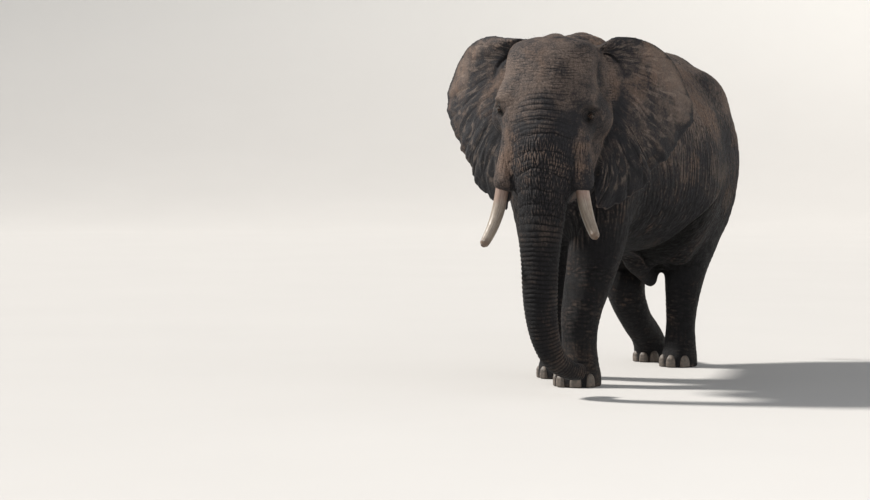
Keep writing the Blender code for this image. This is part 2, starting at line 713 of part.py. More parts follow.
def paint(body, name, colour, roughness):
    material = bpy.data.materials.get(name)
    if material is None:
        material = bpy.data.materials.new(name)
        material.use_nodes = True
        shader = material.node_tree.nodes["Principled BSDF"]
        shader.inputs["Base Color"].default_value = colour
        shader.inputs["Roughness"].default_value = roughness
    body.data.materials.clear()
    body.data.materials.append(material)


def main():
    for old in list(bpy.data.objects):
        bpy.data.objects.remove(old)
    torso, lumps = make_torso()
    skull, features, trunk = make_head()
    parts = (
        (torso, 0.01),
        (make_legs(), 0.16),
        (make_neck(), 0.20),
        (lumps, 0.10),
        (skull, 0.12),
        (features, 0.11),
        (trunk, 0.10),
        (make_tail(), 0.06),
    )
    flesh = melted("flesh", parts)
    applied(flesh, "SMOOTH", factor=0.5, iterations=2)
    count = 2 * len(flesh.data.polygons)
    applied(flesh, "DECIMATE", use_collapse_triangulate=True, ratio=FLESH_TRIANGLES / count)
    above_floor(flesh)
    skin = surface(flesh)
    eyes = [make_eye("eye_" + name, s, skin) for name, s in SIDES]
    outer = swollen(flesh, GAP)
    for eye in eyes:
        differ(flesh, swollen(eye, GAP))
    fine = [
        melted_jaw(),
        make_ear("ear_left", 1, math.radians(38), 0, 0.54, 0.58),
        make_ear("ear_right", -1, math.radians(47), math.radians(6), 0.64, 0.665),
        make_tusk("tusk_left", 1, 0.335, 0.155, 0.385),
        make_tusk("tusk_right", -1, 0.360, 0.115, 0.460),
    ]
    fine += make_nails("nail_fore_left", (0.25, -0.57), (-57, -19, 19, 57), skin)
    fine += make_nails("nail_fore_right", (-0.25, 0.10), (-57, -19, 19, 57), skin)
    fine += make_nails("nail_hind_left", (0.23, 1.76), (-38, 0, 38), skin)
    fine += make_nails("nail_hind_right", (-0.26, 2.16), (-38, 0, 38), skin)
    for body in fine:
        copy = bpy.data.objects.new("outer", outer.data.copy())
        bpy.context.collection.objects.link(copy)
        largest(differ(body, copy))
    bpy.data.objects.remove(outer)
    part_flesh(flesh)
    make_tuft()
    finish()


def melted_jaw():
    jaw = melted("lower_jaw", ((make_jaw(), 0.10),))
    applied(jaw, "DECIMATE", use_collapse_triangulate=True, ratio=0.03)
    return jaw


def make_tuft():
    """The tail's brush, flattened from side to side."""
    rows = (
        (0.060, 2.920, 1.408, 0.028, 0.030, 0.030, 2.0),
        (0.064, 2.926, 1.300, 0.034, 0.055, 0.055, 2.0),
        (0.068, 2.930, 1.150, 0.030, 0.070, 0.070, 2.0),
        (0.070, 2.930, 1.020, 0.018, 0.045, 0.045, 2.0),
        (0.070, 2.930, 0.960, 0.006, 0.012, 0.012, 2.0),
    )
    return spine_loft("tail_tuft", rows, 7, around=8)


def finish():
    """Puts the origin under the middle of the whole, scales, and paints."""
    nodes = list(bpy.data.objects)
    corners = [v.co for node in nodes for v in node.data.vertices]
    low = Vector(min(c[k] for c in corners) for k in range(3))
    high = Vector(max(c[k] for c in corners) for k in range(3))
    home = Matrix.Scale(SCALE, 4) @ Matrix.Translation((-(low.x + high.x) / 2, -(low.y + high.y) / 2, -low.z))
    place(nodes, home)
    for node in nodes:
        if node.name.startswith("tusk"):
            paint(node, "ivory", IVORY, 0.35)
        elif node.name.startswith("nail"):
            paint(node, "toenail", HORN, 0.6)
        elif node.name.startswith("eye"):
            paint(node, "eyeball", EYE, 0.08)
        elif node.name == "tail_tuft":
            paint(node, "bristle", BRISTLE, 0.5)
        else:
            paint(node, "skin", SKIN, 0.75)
        node.data.update()


main()
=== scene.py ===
"""African bush elephant bull, walking: the looks of the still, life-size model.

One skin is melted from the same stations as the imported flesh, refined on head, trunk and ears, and creased by fields
of rings, folds and cracks. Eyes, tusks, toenails and hairs are pieces of their own. Lengths are metres, +Z is up, the
bull faces -Y and its left side is +X. Stations are drawn round the withers, and HOME carries them into the frame.
"""

import math

import bpy
import numpy as np
import openvdb
from bpy.props import FloatProperty, FloatVectorProperty, IntProperty, PointerProperty
from mathutils import Matrix, Vector
from mathutils.kdtree import KDTree


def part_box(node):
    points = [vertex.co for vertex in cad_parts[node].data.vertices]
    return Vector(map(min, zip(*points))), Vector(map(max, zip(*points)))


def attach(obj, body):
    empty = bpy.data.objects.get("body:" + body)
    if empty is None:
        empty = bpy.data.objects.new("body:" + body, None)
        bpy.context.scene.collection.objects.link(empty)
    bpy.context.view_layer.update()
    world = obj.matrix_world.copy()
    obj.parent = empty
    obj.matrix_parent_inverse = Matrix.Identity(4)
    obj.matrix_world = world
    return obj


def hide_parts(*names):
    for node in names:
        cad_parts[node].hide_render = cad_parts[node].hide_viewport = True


bl_info = {
    "name": "Bush Elephant Looks",
    "version": (1, 0, 0),
    "blender": (4, 5, 0),
    "location": "View3D > Sidebar > Elephant",
    "description": "Skin, tusks, eyes, toenails and hairs of a life-size elephant",
    "category": "Add Mesh",
}

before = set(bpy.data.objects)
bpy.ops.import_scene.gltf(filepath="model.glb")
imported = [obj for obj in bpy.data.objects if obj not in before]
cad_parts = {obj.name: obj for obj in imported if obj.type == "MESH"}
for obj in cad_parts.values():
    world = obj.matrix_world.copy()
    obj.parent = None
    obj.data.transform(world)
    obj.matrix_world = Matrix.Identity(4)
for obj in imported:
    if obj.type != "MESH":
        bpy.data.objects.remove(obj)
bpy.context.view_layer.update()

# ---------------------------------------------------------------- places in the frame
BARREL_FRONT = 0.5504  # how far behind the withers the barrel starts
BARREL_LOW, BARREL_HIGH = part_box("barrel")
HOME = np.array(((BARREL_LOW.x + BARREL_HIGH.x) / 2, BARREL_LOW.y - BARREL_FRONT, 0.0))
HEAD_AT = np.array((0.424, -1.507, 2.42))  # midpoint between the eyes
HEAD_TURN = np.array(Matrix.Rotation(math.radians(15), 3, "Z"))  # head and neck turned to the bull's left
SIDES = (("left", 1), ("right", -1))
UP = np.array((0, 0, 1))
OWN_PIECES = ("eye", "tusk", "nail", "tail_tuft")
FLESH = sorted(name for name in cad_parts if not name.startswith(OWN_PIECES))
WIDEST_BLEND = 0.26  # how far from a surface its distance is known


# ---------------------------------------------------------------- shape helpers
def smooth_table(rows, count):
    """Rows of numbers run through by a smooth curve, resampled at count places."""
    rows = np.array(rows, float)
    slopes = np.gradient(rows, axis=0)
    places = np.linspace(0, len(rows) - 1, count)
    low = np.minimum(places.astype(int), len(rows) - 2)
    t = (places - low)[:, None]
    a, b, da, db = rows[low], rows[low + 1], slopes[low], slopes[low + 1]
    blend = a * (2 * t**3 - 3 * t**2 + 1) + da * (t**3 - 2 * t**2 + t)
    return blend + b * (3 * t**2 - 2 * t**3) + db * (t**3 - t**2)


def unit(vector):
    """The vector, or each vector of a table, made 1 long."""
    vector = np.asarray(vector, float)
    return vector / np.linalg.norm(vector, axis=-1, keepdims=True)


def rise(value, low, high):
    """Smoothly from 0 at low to 1 at high."""
    t = np.clip((value - low) / (high - low), 0, 1)
    return t * t * (3 - 2 * t)


def fall(value, low, high):
    """Smoothly from 1 at low to 0 at high."""
    return 1 - rise(value, low, high)


def norm(vectors):
    """The length of each vector."""
    return np.linalg.norm(vectors, axis=-1)


def hill(value, middle, reach):
    """1 at the middle, falling smoothly to 0 at reach from it."""
    return fall(np.abs(value - middle), 0, reach)


def oval(centre, side, up, half, above, below, power=2.0, around=48, crest=None):
    """A closed superellipse ring: half its width along side, above and below its reaches along up."""
    angle = 2 * np.pi * np.arange(around) / around
    c, s = np.cos(angle), np.sin(angle)
    powers = np.where(s > 0, crest or power, power)
    across = half * np.sign(c) * np.abs(c) ** (2 / powers)
    along = np.where(s > 0, above, below) * np.sign(s) * np.abs(s) ** (2 / powers)
    return np.asarray(centre, float) + across[:, None] * np.asarray(side) + along[:, None] * np.asarray(up)


def loft(rings):
    """A closed body, as points and triangles, through rings of equal, even count. Each end is closed by rungs."""
    around, count = len(rings[0]), len(rings)
    k = np.arange(around)
    n = (k + 1) % around
    faces = []
    for r in range(count - 1):
        a, b = r * around + k, r * around + n
        faces += [np.stack([a, b, b + around], 1), np.stack([a, b + around, a + around], 1)]
    k = np.arange(around // 2 - 1)
    far, top = around - 1 - k, (count - 1) * around
    for a, b, c, d, at in ((k, far, far - 1, k + 1, 0), (k, k + 1, far - 1, far, top)):
        faces += [np.stack([a, b, c], 1) + at, np.stack([a, c, d], 1) + at]
    return np.concatenate(rings), np.concatenate(faces)


def spine_loft(rows, count, around=48):
    """A limb along a spine. Each row: x, y, z, half width across, reach in front, reach behind, and a power or 2."""
    fine = smooth_table(rows, count)
    rings = []
    for row, along in zip(fine, unit(np.gradient(fine[:, :3], axis=0))):
        front = unit(np.cross(along, (1, 0, 0)))
        rings.append(oval(row[:3], np.cross(front, along), front, *row[3:], around=around))
    return loft(rings)


def level_loft(rows, count):
    """A body of level slices. Each row: z, x, y, half width, reach forward, reach back, and a power or 2."""
    return loft([oval((r[1], r[2], r[0]), (1, 0, 0), (0, -1, 0), *r[3:]) for r in smooth_table(rows, count)])


def turned(degrees):
    """The turn of that many degrees about x, then y, then z."""
    turn = Matrix.Identity(3)
    for axis, angle in zip("XYZ", degrees):
        turn = Matrix.Rotation(math.radians(angle), 3, axis) @ turn
    return np.array(turn)


def bulge(centre, radii, turn=(0, 0, 0)):
    """An ellipsoid of flesh or bone. turn: degrees about x, y, z."""
    polar = np.linspace(0.05, np.pi - 0.05, 20)
    points, faces = loft([oval((0, 0, math.cos(p)), (1, 0, 0), (0, 1, 0), *[math.sin(p)] * 3, 2, 36) for p in polar])
    return (points * radii) @ turned(turn).T + centre, faces


def capsule(start, end, first, last):
    """A tapered rod with round ends."""
    start, end = np.array(start, float), np.array(end, float)
    along = unit(end - start)
    side = unit(np.cross(along, (0.31, 0.87, 0.39)))
    other = np.cross(along, side)
    quarter = np.linspace(0.1, np.pi / 2, 8)
    stops = [(start - along * first * np.cos(a), first * np.sin(a)) for a in quarter]
    stops += [(start + (end - start) * t, first * (1 - t) + last * t) for t in np.linspace(0.1, 1, 8)]
    stops += [(end + along * last * np.cos(a), last * np.sin(a)) for a in quarter[-2::-1]]
    return loft([oval(at, side, other, r, r, r, 2, 32) for at, r in stops])


def nearest(stops, points):
    """Which of the stops lies nearest to each point."""
    tree = KDTree(len(stops))
    for k, stop in enumerate(stops):
        tree.insert(stop, k)
    tree.balance()
    return np.array([tree.find(point)[1] for point in points])


def on_head(points):
    """From the head's own axes, round the point between the eyes, to the body's."""
    return np.asarray(points) @ HEAD_TURN.T + HEAD_AT


def from_head(points):
    """From the body's axes to the head's own."""
    return (points - HEAD_AT) @ HEAD_TURN


# ---------------------------------------------------------------- the body's stations
# y, top, widest level, bottom, half width, power of the belly, power of the back
BARREL = (
    (-0.76, 2.25, 2.00, 1.80, 0.16, 2.0, 2.0),
    (-0.66, 2.60, 2.05, 1.56, 0.36, 2.1, 2.0),
    (-0.38, 2.98, 2.05, 1.34, 0.56, 2.1, 1.9),
    (0.00, 3.12, 2.00, 1.25, 0.64, 2.2, 1.8),
    (0.45, 3.07, 1.92, 1.20, 0.72, 2.2, 1.85),
    (0.95, 2.98, 1.86, 1.12, 0.78, 2.2, 1.95),
    (1.35, 2.98, 1.84, 1.00, 0.80, 2.2, 1.95),
    (1.85, 3.04, 1.95, 1.06, 0.70, 2.2, 1.9),
    (2.25, 2.94, 2.02, 1.28, 0.62, 2.1, 1.9),
    (2.55, 2.68, 2.02, 1.54, 0.46, 2.0, 2.0),
    (2.68, 2.44, 2.02, 1.72, 0.29, 2.0, 2.0),
    (2.74, 2.20, 2.02, 1.86, 0.12, 2.0, 2.0),
)
# from head to shoulders: x, y, z, half width, reach up, reach down, power
NECK = (
    (0.33, -1.22, 2.40, 0.38, 0.52, 0.54, 2.1),
    (0.27, -1.00, 2.38, 0.40, 0.58, 0.60, 2.1),
    (0.17, -0.72, 2.35, 0.43, 0.66, 0.70, 2.1),
    (0.06, -0.40, 2.28, 0.48, 0.78, 0.80, 2.1),
    (0.00, -0.10, 2.20, 0.52, 0.88, 0.84, 2.1),
)
# z, x, y, half width, reach forward, reach back, power; from the point between the eyes
SKULL = (
    (0.655, 0, 0.14, 0.15, 0.12, 0.16, 2.0),
    (0.60, 0, 0.15, 0.33, 0.26, 0.28, 2.1),
    (0.48, 0, 0.16, 0.40, 0.38, 0.38, 2.2),
    (0.30, 0, 0.16, 0.415, 0.46, 0.44, 2.3),
    (0.10, 0, 0.16, 0.41, 0.51, 0.46, 2.4),
    (-0.10, 0, 0.16, 0.40, 0.54, 0.44, 2.4),
    (-0.30, 0, 0.14, 0.35, 0.54, 0.40, 2.3),
    (-0.50, 0, 0.10, 0.31, 0.46, 0.34, 2.2),
    (-0.66, 0, 0.04, 0.27, 0.36, 0.26, 2.1),
    (-0.76, 0, 0.00, 0.20, 0.28, 0.18, 2.0),
)
# x, y, z from between the eyes, half width, reach in front, reach behind, power
TRUNK = (
    (0.00, -0.06, 0.32, 0.15, 0.15, 0.15, 2.1),
    (0.00, -0.13, 0.12, 0.21, 0.21, 0.20, 2.1),
    (0.00, -0.18, -0.12, 0.25, 0.24, 0.20, 2.1),
    (0.00, -0.23, -0.38, 0.25, 0.25, 0.20, 2.1),
    (0.00, -0.27, -0.62, 0.230, 0.22, 0.20, 2.1),
    (0.00, -0.31, -0.84, 0.203, 0.19, 0.19, 2.1),
    (-0.01, -0.34, -1.06, 0.184, 0.172, 0.17, 2.1),
    (-0.01, -0.35, -1.28, 0.163, 0.155, 0.150, 2.0),
    (-0.01, -0.35, -1.50, 0.153, 0.146, 0.140, 2.0),
    (0.00, -0.33, -1.72, 0.140, 0.134, 0.130, 2.0),
    (0.03, -0.29, -1.92, 0.124, 0.118, 0.116, 2.0),
    (0.09, -0.21, -2.09, 0.106, 0.100, 0.100, 2.0),
    (0.19, -0.08, -2.19, 0.090, 0.082, 0.080, 2.0),
    (0.27, 0.02, -2.21, 0.080, 0.072, 0.070, 2.0),
)
# z, x, y, half width, reach forward, reach back
FORE_LEFT = (
    (-0.06, 0.25, -0.57, 0.21, 0.23, 0.21),
    (0.10, 0.25, -0.57, 0.205, 0.23, 0.21),
    (0.22, 0.25, -0.56, 0.18, 0.20, 0.19),
    (0.38, 0.25, -0.55, 0.158, 0.17, 0.17),
    (0.63, 0.26, -0.535, 0.180, 0.19, 0.19),
    (0.97, 0.30, -0.44, 0.225, 0.22, 0.26),
    (1.25, 0.34, -0.39, 0.25, 0.25, 0.33),
    (1.60, 0.37, -0.32, 0.25, 0.30, 0.38),
    (2.05, 0.38, -0.18, 0.23, 0.34, 0.38),
    (2.50, 0.28, -0.04, 0.20, 0.30, 0.32),
    (2.80, 0.18, 0.04, 0.12, 0.20, 0.20),
)
FORE_RIGHT = (
    (-0.06, -0.25, 0.10, 0.21, 0.23, 0.21),
    (0.10, -0.25, 0.10, 0.205, 0.23, 0.21),
    (0.22, -0.25, 0.10, 0.18, 0.20, 0.19),
    (0.38, -0.25, 0.09, 0.158, 0.17, 0.17),
    (0.63, -0.26, 0.04, 0.180, 0.19, 0.19),
    (0.97, -0.30, -0.04, 0.215, 0.22, 0.25),
    (1.25, -0.33, -0.10, 0.225, 0.25, 0.32),
    (1.60, -0.36, -0.14, 0.22, 0.30, 0.38),
    (2.05, -0.38, -0.12, 0.22, 0.34, 0.38),
    (2.50, -0.28, -0.02, 0.20, 0.30, 0.32),
    (2.80, -0.18, 0.04, 0.12, 0.20, 0.20),
)
HIND_LEFT = (
    (-0.06, 0.23, 1.76, 0.175, 0.21, 0.19),
    (0.10, 0.23, 1.76, 0.17, 0.21, 0.18),
    (0.22, 0.23, 1.77, 0.155, 0.18, 0.17),
    (0.40, 0.23, 1.78, 0.142, 0.155, 0.16),
    (0.64, 0.24, 1.79, 0.160, 0.175, 0.20),
    (0.92, 0.27, 1.80, 0.195, 0.24, 0.27),
    (1.20, 0.31, 1.87, 0.23, 0.32, 0.38),
    (1.60, 0.35, 2.00, 0.25, 0.40, 0.46),
    (2.05, 0.35, 2.08, 0.26, 0.42, 0.46),
    (2.50, 0.28, 2.08, 0.22, 0.34, 0.38),
    (2.75, 0.18, 2.02, 0.12, 0.16, 0.20),
)
# x, y, z, half width, reach forward, reach back
HIND_RIGHT = (
    (-0.18, 2.04, 2.72, 0.14, 0.18, 0.20),
    (-0.28, 2.08, 2.48, 0.22, 0.34, 0.38),
    (-0.35, 2.06, 2.05, 0.26, 0.42, 0.46),
    (-0.35, 1.94, 1.60, 0.25, 0.40, 0.44),
    (-0.33, 1.78, 1.20, 0.23, 0.34, 0.36),
    (-0.31, 1.64, 0.90, 0.205, 0.25, 0.28),
    (-0.29, 1.67, 0.66, 0.175, 0.195, 0.22),
    (-0.27, 1.84, 0.44, 0.150, 0.165, 0.170),
    (-0.26, 2.04, 0.28, 0.150, 0.165, 0.170),
    (-0.26, 2.16, 0.15, 0.165, 0.190, 0.180),
    (-0.26, 2.18, 0.04, 0.172, 0.200, 0.180),
    (-0.26, 2.18, -0.06, 0.172, 0.200, 0.180),
)
# x, y, z, half width, reach in front, reach behind
TAIL = (
    (0.00, 2.42, 2.64, 0.12, 0.12, 0.12),
    (0.00, 2.68, 2.52, 0.085, 0.085, 0.085),
    (0.01, 2.84, 2.30, 0.055, 0.06, 0.06),
    (0.03, 2.89, 2.00, 0.042, 0.045, 0.045),
    (0.05, 2.91, 1.70, 0.034, 0.034, 0.034),
    (0.06, 2.92, 1.42, 0.028, 0.028, 0.028),
)


def torso_body():
    """The barrel, of upright slices from chest to rump."""
    rings = []
    for y, top, wide, low, half, power, crest in smooth_table(BARREL, 90):
        rings.append(oval((0, y, wide), (1, 0, 0), (0, 0, 1), half, top - wide, wide - low, power, 72, crest))
    return loft(rings)


def torso_lumps():
    """What stands out on the barrel: withers, hips, backbone, sheath, shoulders, haunches and groin folds."""
    lumps = [
        bulge((0, 0.02, 2.92), (0.17, 0.40, 0.27)),
        bulge((0, 1.90, 2.76), (0.24, 0.45, 0.29)),
        capsule((0, 0.3, 2.98), (0, 1.7, 2.93), 0.09, 0.10),
        capsule((0, 1.25, 1.02), (0, 1.57, 0.84), 0.11, 0.06),
        capsule((0, 1.50, 0.93), (0.02, 1.95, 1.12), 0.06, 0.12),
    ]
    for _, s in SIDES:
        lumps += [
            bulge((s * 0.27, 0.00, 2.63), (0.17, 0.24, 0.50), (0, s * -14, 0)),
            bulge((s * 0.44, -0.16, 2.10), (0.16, 0.30, 0.42)),
            bulge((s * 0.29, 2.03, 2.59), (0.26, 0.42, 0.28), (-14, s * 12, 0)),
            bulge((s * 0.37, 2.10, 1.75), (0.21, 0.38, 0.50)),
            capsule((s * 0.56, 1.40, 1.60), (s * 0.36, 1.46, 1.12), 0.14, 0.10),
        ]
    return lumps


def neck_body():
    """The neck, thick and deep, and turned with the head."""
    fine = smooth_table(NECK, 30)
    sides = unit(np.cross(unit(np.gradient(fine[:, :3], axis=0)), (0, 0, 1)))
    return loft([oval(row[:3], side, (0, 0, 1), *row[3:], crest=1.9) for row, side in zip(fine, sides)])


def head_bodies():
    """Skull, features, trunk and lower jaw, on the head's own axes."""
    features = [bulge((-0.03, 0.42, 0.52), (0.14, 0.20, 0.18))]
    for _, s in SIDES:
        features += [
            bulge((s * 0.29, -0.04, 0.12), (0.14, 0.24, 0.15), (0, s * 15, s * 10)),
            bulge((s * 0.39, 0.13, -0.03), (0.135, 0.23, 0.16), (-12, 0, 0)),
            bulge((s * 0.31, 0.36, 0.14), (0.165, 0.19, 0.42)),
            bulge((s * 0.26, 0.24, -0.38), (0.15, 0.22, 0.34)),
            capsule((s * 0.205, -0.14, -0.10), (s * 0.338, -0.25, -0.578), 0.15, 0.098),
        ]
    jaw = [
        capsule((0, 0.18, -0.60), (0, -0.12, -0.80), 0.19, 0.11),
        bulge((0, -0.20, -0.82), (0.11, 0.12, 0.07), (-25, 0, 0)),
    ]
    return [level_loft(SKULL, 50)], features, [spine_loft(TRUNK, 120)], jaw


def leg_bodies():
    """The straight legs, of level slices, and the right hind leg that pushes off, along its spine."""
    return [*(level_loft(rows, 90) for rows in (FORE_LEFT, FORE_RIGHT, HIND_LEFT)), spine_loft(HIND_RIGHT, 90)]


def tail_body():
    """The tail without its tuft, hanging from the rump."""
    return spine_loft(TAIL, 70, around=32)


# ---------------------------------------------------------------- ears
EAR_EDGE = 0.009  # how round the edge is
EAR_ROWS, EAR_ACROSS = 240, 60
# how far each ear stands out, how far it is lifted, and how high its upper edge starts on the head and at the rim
EAR_HANG = {1: (math.radians(38), 0.0, 0.54, 0.58), -1: (math.radians(47), math.radians(6), 0.64, 0.665)}
# the root on the head, below its first row: x outward, y back, z up
EAR_ROOT = ((0.34, 0.38, 0.50), (0.44, 0.38, 0.36), (0.45, 0.36, 0.10), (0.42, 0.34, -0.14), (0.34, 0.30, -0.36))
# the rim after its first row, in the ear's own plane: outward, up, towards the face
EAR_RIM = (
    (0.08, 0.66, 0.01),
    (0.36, 0.653, 0.02),
    (0.651, 0.561, 0.00),
    (0.90, 0.372, -0.04),
    (1.095, 0.02, -0.06),
    (0.94, -0.19, -0.04),
    (0.712, -0.384, 0.00),
    (0.50, -0.50, 0.03),
    (0.41, -0.63, 0.04),
    (0.17, -0.75, 0.04),
    (-0.12, -0.83, 0.06),
    (-0.21, -0.70, 0.08),
    (-0.20, -0.52, 0.06),
)


def ear_middle(s):
    """The ear's middle sheet as rows by columns of points, root first, and the direction its front faces."""
    spread, lift, root_top, rim_top = EAR_HANG[s]
    out = np.array((math.sin(spread), math.cos(spread), 0))
    face = np.array((math.cos(spread), -math.sin(spread), 0))
    root = smooth_table(((0.16, 0.36, root_top), *EAR_ROOT), EAR_ROWS)
    e = smooth_table(((-0.10, rim_top, 0.00), *EAR_RIM), EAR_ROWS)
    u = np.linspace(0, 1, EAR_ROWS)[:, None]
    ragged = rise(u, 0.30, 0.42) * fall(u, 0.86, 0.95)
    scallop = 0.010 * np.sin(2 * np.pi * u * 23 + 2 * np.sin(9 * u)) + 0.006 * np.sin(2 * np.pi * u * 47 + s)
    e[:, :2] *= 1 - 0.010 + (scallop - 0.008) * ragged
    c, d = math.cos(lift), math.sin(lift)
    along, up = c * e[:, :1] - d * e[:, 1:2], d * e[:, :1] + c * e[:, 1:2]
    rim = np.array((0.44, 0.36, 0)) + out * along + UP * up + face * e[:, 2:]
    t = np.linspace(0, 1, EAR_ACROSS + 1)[None, :, None]
    waves = 0.012 * np.sin(2 * np.pi * 7.5 * u + 1.3 * s) + 0.007 * np.sin(2 * np.pi * 17 * u)
    bow = 0.09 * np.sin(np.pi * t) + (waves * rise(u, 0.25, 0.45))[:, None] * t**2
    sheet = root[:, None] * (1 - t) + rim[:, None] * t + face * bow
    mirror = np.array((s, 1, 1))
    return sheet * mirror, face * mirror


def ear_body(s):
    """The ear as a closed blade, thick at the root and thin at the rim."""
    sheet, face = ear_middle(s)
    t = np.linspace(0, 1, EAR_ACROSS + 1)[None, :, None]
    thick = face * (0.030 * (1 - t) + 0.0115 * t - EAR_EDGE)
    rings = [np.concatenate([row, back[::-1]]) for row, back in zip(sheet + thick, sheet - thick)]
    return loft(rings)


# ---------------------------------------------------------------- melting
def melted(parts, voxel):
    """Bodies melted into one skin, as points and quads.

    Each part is (bodies, blend, swell): how wide its joins are rounded, and how far it grows, with rounded edges."""
    bodies = [body for group, _, _ in parts for body in group]
    corners = np.concatenate([points for points, _ in bodies])
    low = np.floor(corners.min(axis=0) / voxel).astype(int) - 6
    size = np.ceil(corners.max(axis=0) / voxel).astype(int) + 6 - low
    band = math.ceil(WIDEST_BLEND / voxel)
    whole = np.full(size, band * voxel, np.float32)
    spacing = openvdb.createLinearTransform(voxelSize=voxel)
    for group, blend, swell in parts:
        for points, triangles in group:
            grid = openvdb.FloatGrid.createLevelSetFromPolygons(
                points.astype(np.float32), triangles=triangles.astype(np.uint32), transform=spacing, halfWidth=band
            )
            pad = math.ceil(blend / voxel) + 2
            first = np.maximum(np.floor(points.min(axis=0) / voxel).astype(int) - pad, low)
            last = np.minimum(np.ceil(points.max(axis=0) / voxel).astype(int) + pad, low + size)
            field = np.empty(last - first, np.float32)
            grid.copyToArray(field, ijk=tuple(int(v) for v in first))
            field -= swell
            there = tuple(slice(a, b) for a, b in zip(first - low, last - low))
            near = np.maximum(blend - np.abs(whole[there] - field), 0) / blend
            whole[there] = np.minimum(whole[there], field) - near * near * blend / 4
    level = (np.arange(size[2]) + low[2]) * voxel
    whole = np.maximum(whole, -level.astype(np.float32))
    grid = openvdb.FloatGrid(band * voxel)
    grid.copyFromArray(whole, ijk=tuple(int(v) for v in low))
    grid.transform = spacing
    points, quads = grid.convertToQuads(isovalue=0.0)
    return points.astype(float), quads.astype(np.int64)


def edge_keys(quads, count):
    """One number for each side of each quad, the same from both faces that share it."""
    ends = np.sort(np.stack([quads, np.roll(quads, -1, axis=1)], axis=2), axis=2)
    return ends[..., 0] * count + ends[..., 1]


def refined(points, quads, others, chosen):
    """Splits the chosen quads into four. A quad beside them takes the middle of the shared side as a corner."""
    count = len(points)
    sides, place = np.unique(edge_keys(quads[chosen], count), return_inverse=True)
    middles = count + place.reshape(-1, 4)
    hubs = count + len(sides) + np.arange(chosen.sum())
    more = [points, (points[sides // count] + points[sides % count]) / 2, points[quads[chosen]].mean(axis=1)]
    fine = [np.stack([quads[chosen][:, k], middles[:, k], hubs, middles[:, k - 1]], 1) for k in range(4)]
    rest = quads[~chosen]
    keys = edge_keys(rest, count)
    at = np.minimum(np.searchsorted(sides, keys), len(sides) - 1)
    split = sides[at] == keys
    touched = split.any(axis=1)
    for corners, cut, middle in zip(rest[touched], split[touched], at[touched] + count):
        face = []
        for k in range(4):
            face += [corners[k], middle[k]] if cut[k] else [corners[k]]
        others.append(face)
    return np.concatenate(more), np.concatenate([rest[~touched], *fine])


def relaxed(points, quads, rounds, share):
    """Each point drawn towards the middle of its neighbours by its share."""
    total, share = len(points), np.broadcast_to(share, len(points))[:, None]
    keys = np.unique(edge_keys(quads, total))
    a, b = keys // total, keys % total
    count = np.maximum(np.bincount(a, minlength=total) + np.bincount(b, minlength=total), 1)[:, None]
    for _ in range(rounds):
        sums = [np.bincount(a, points[b, k], total) + np.bincount(b, points[a, k], total) for k in range(3)]
        points = points + share * (np.stack(sums, axis=1) / count - points)
    return points


# ---------------------------------------------------------------- fields on the skin
def read(collection, field, size=3, kind=np.float32):
    """One field of all the items of a mesh, as an array."""
    values = np.empty(len(collection) * size, kind)
    collection.foreach_get(field, values)
    return values.reshape(-1, size).astype(float) if size > 1 else values


def sampled(places, kind, **settings):
    """The values of one of Blender's own textures at these places."""
    probe = mesh_object("probe", places, np.empty((0, 4), int))
    tree = bpy.data.node_groups.new("probe", "GeometryNodeTree")
    for way in ("INPUT", "OUTPUT"):
        tree.interface.new_socket("Geometry", in_out=way, socket_type="NodeSocketGeometry")
    start, end = tree.nodes.new("NodeGroupInput"), tree.nodes.new("NodeGroupOutput")
    texture = tree.nodes.new(kind)
    for name, value in settings.items():
        if name in texture.inputs:
            texture.inputs[name].default_value = value
        else:
            setattr(texture, name, value)
    store = tree.nodes.new("GeometryNodeStoreNamedAttribute")
    store.inputs["Name"].default_value = "value"
    tree.links.new(start.outputs[0], store.inputs["Geometry"])
    tree.links.new(texture.outputs[0], store.inputs["Value"])
    tree.links.new(store.outputs["Geometry"], end.inputs[0])
    probe.modifiers.new("probe", "NODES").node_group = tree
    result = probe.evaluated_get(bpy.context.evaluated_depsgraph_get()).data
    values = read(result.attributes["value"].data, "value", 1).astype(float)
    bpy.data.meshes.remove(probe.data)
    bpy.data.node_groups.remove(tree)
    return values


def noise(places, size, seed=0.0, detail=2.0):
    """Smooth noise from about -1 to 1 whose lumps are about size across."""
    moved = places / size + seed * 17.3
    return 2 * sampled(moved, "ShaderNodeTexNoise", Scale=0.6, Detail=detail, Roughness=0.5) - 1


def cells(places, size, seed=0.0):
    """Distance to the nearest border between irregular cells: 0 on it, about 0.5 in a cell's middle."""
    moved = places / size + seed * 11.7
    return sampled(moved, "ShaderNodeTexVoronoi", feature="DISTANCE_TO_EDGE", Scale=1.0, Randomness=1.0)


def pillows(places, size, width=0.28, seed=0.0):
    """0 on the cell tops, falling to -1 along the cracks between them."""
    return rise(cells(places, size, seed), 0.0, width) ** 0.6 - 1


def trunk_places(local):
    """How far along the trunk each point lies, its offset from the spine, and the trunk's width there."""
    fine = smooth_table(TRUNK, 400)
    spine = fine[:, :3]
    along = unit(np.gradient(spine, axis=0))
    length = np.concatenate([[0], np.cumsum(norm(np.diff(spine, axis=0)))])
    at = nearest(spine, local)
    offset = local - spine[at]
    slip = (offset * along[at]).sum(axis=1)
    offset -= slip[:, None] * along[at]
    front = unit(np.cross(along[at], (1, 0, 0)))
    side = np.cross(front, along[at])
    plane = np.stack([(offset * side).sum(axis=1), (offset * front).sum(axis=1)], axis=1)
    return length[at] + slip, plane, fine[at, 3]


# rings down the trunk: how far along it, the distance from one ring to the next
RINGS = (
    (0.00, 0.036),
    (0.33, 0.040),
    (0.42, 0.110),
    (0.60, 0.165),
    (0.95, 0.145),
    (1.15, 0.103),
    (1.30, 0.066),
    (1.42, 0.040),
    (1.90, 0.036),
    (2.80, 0.026),
)


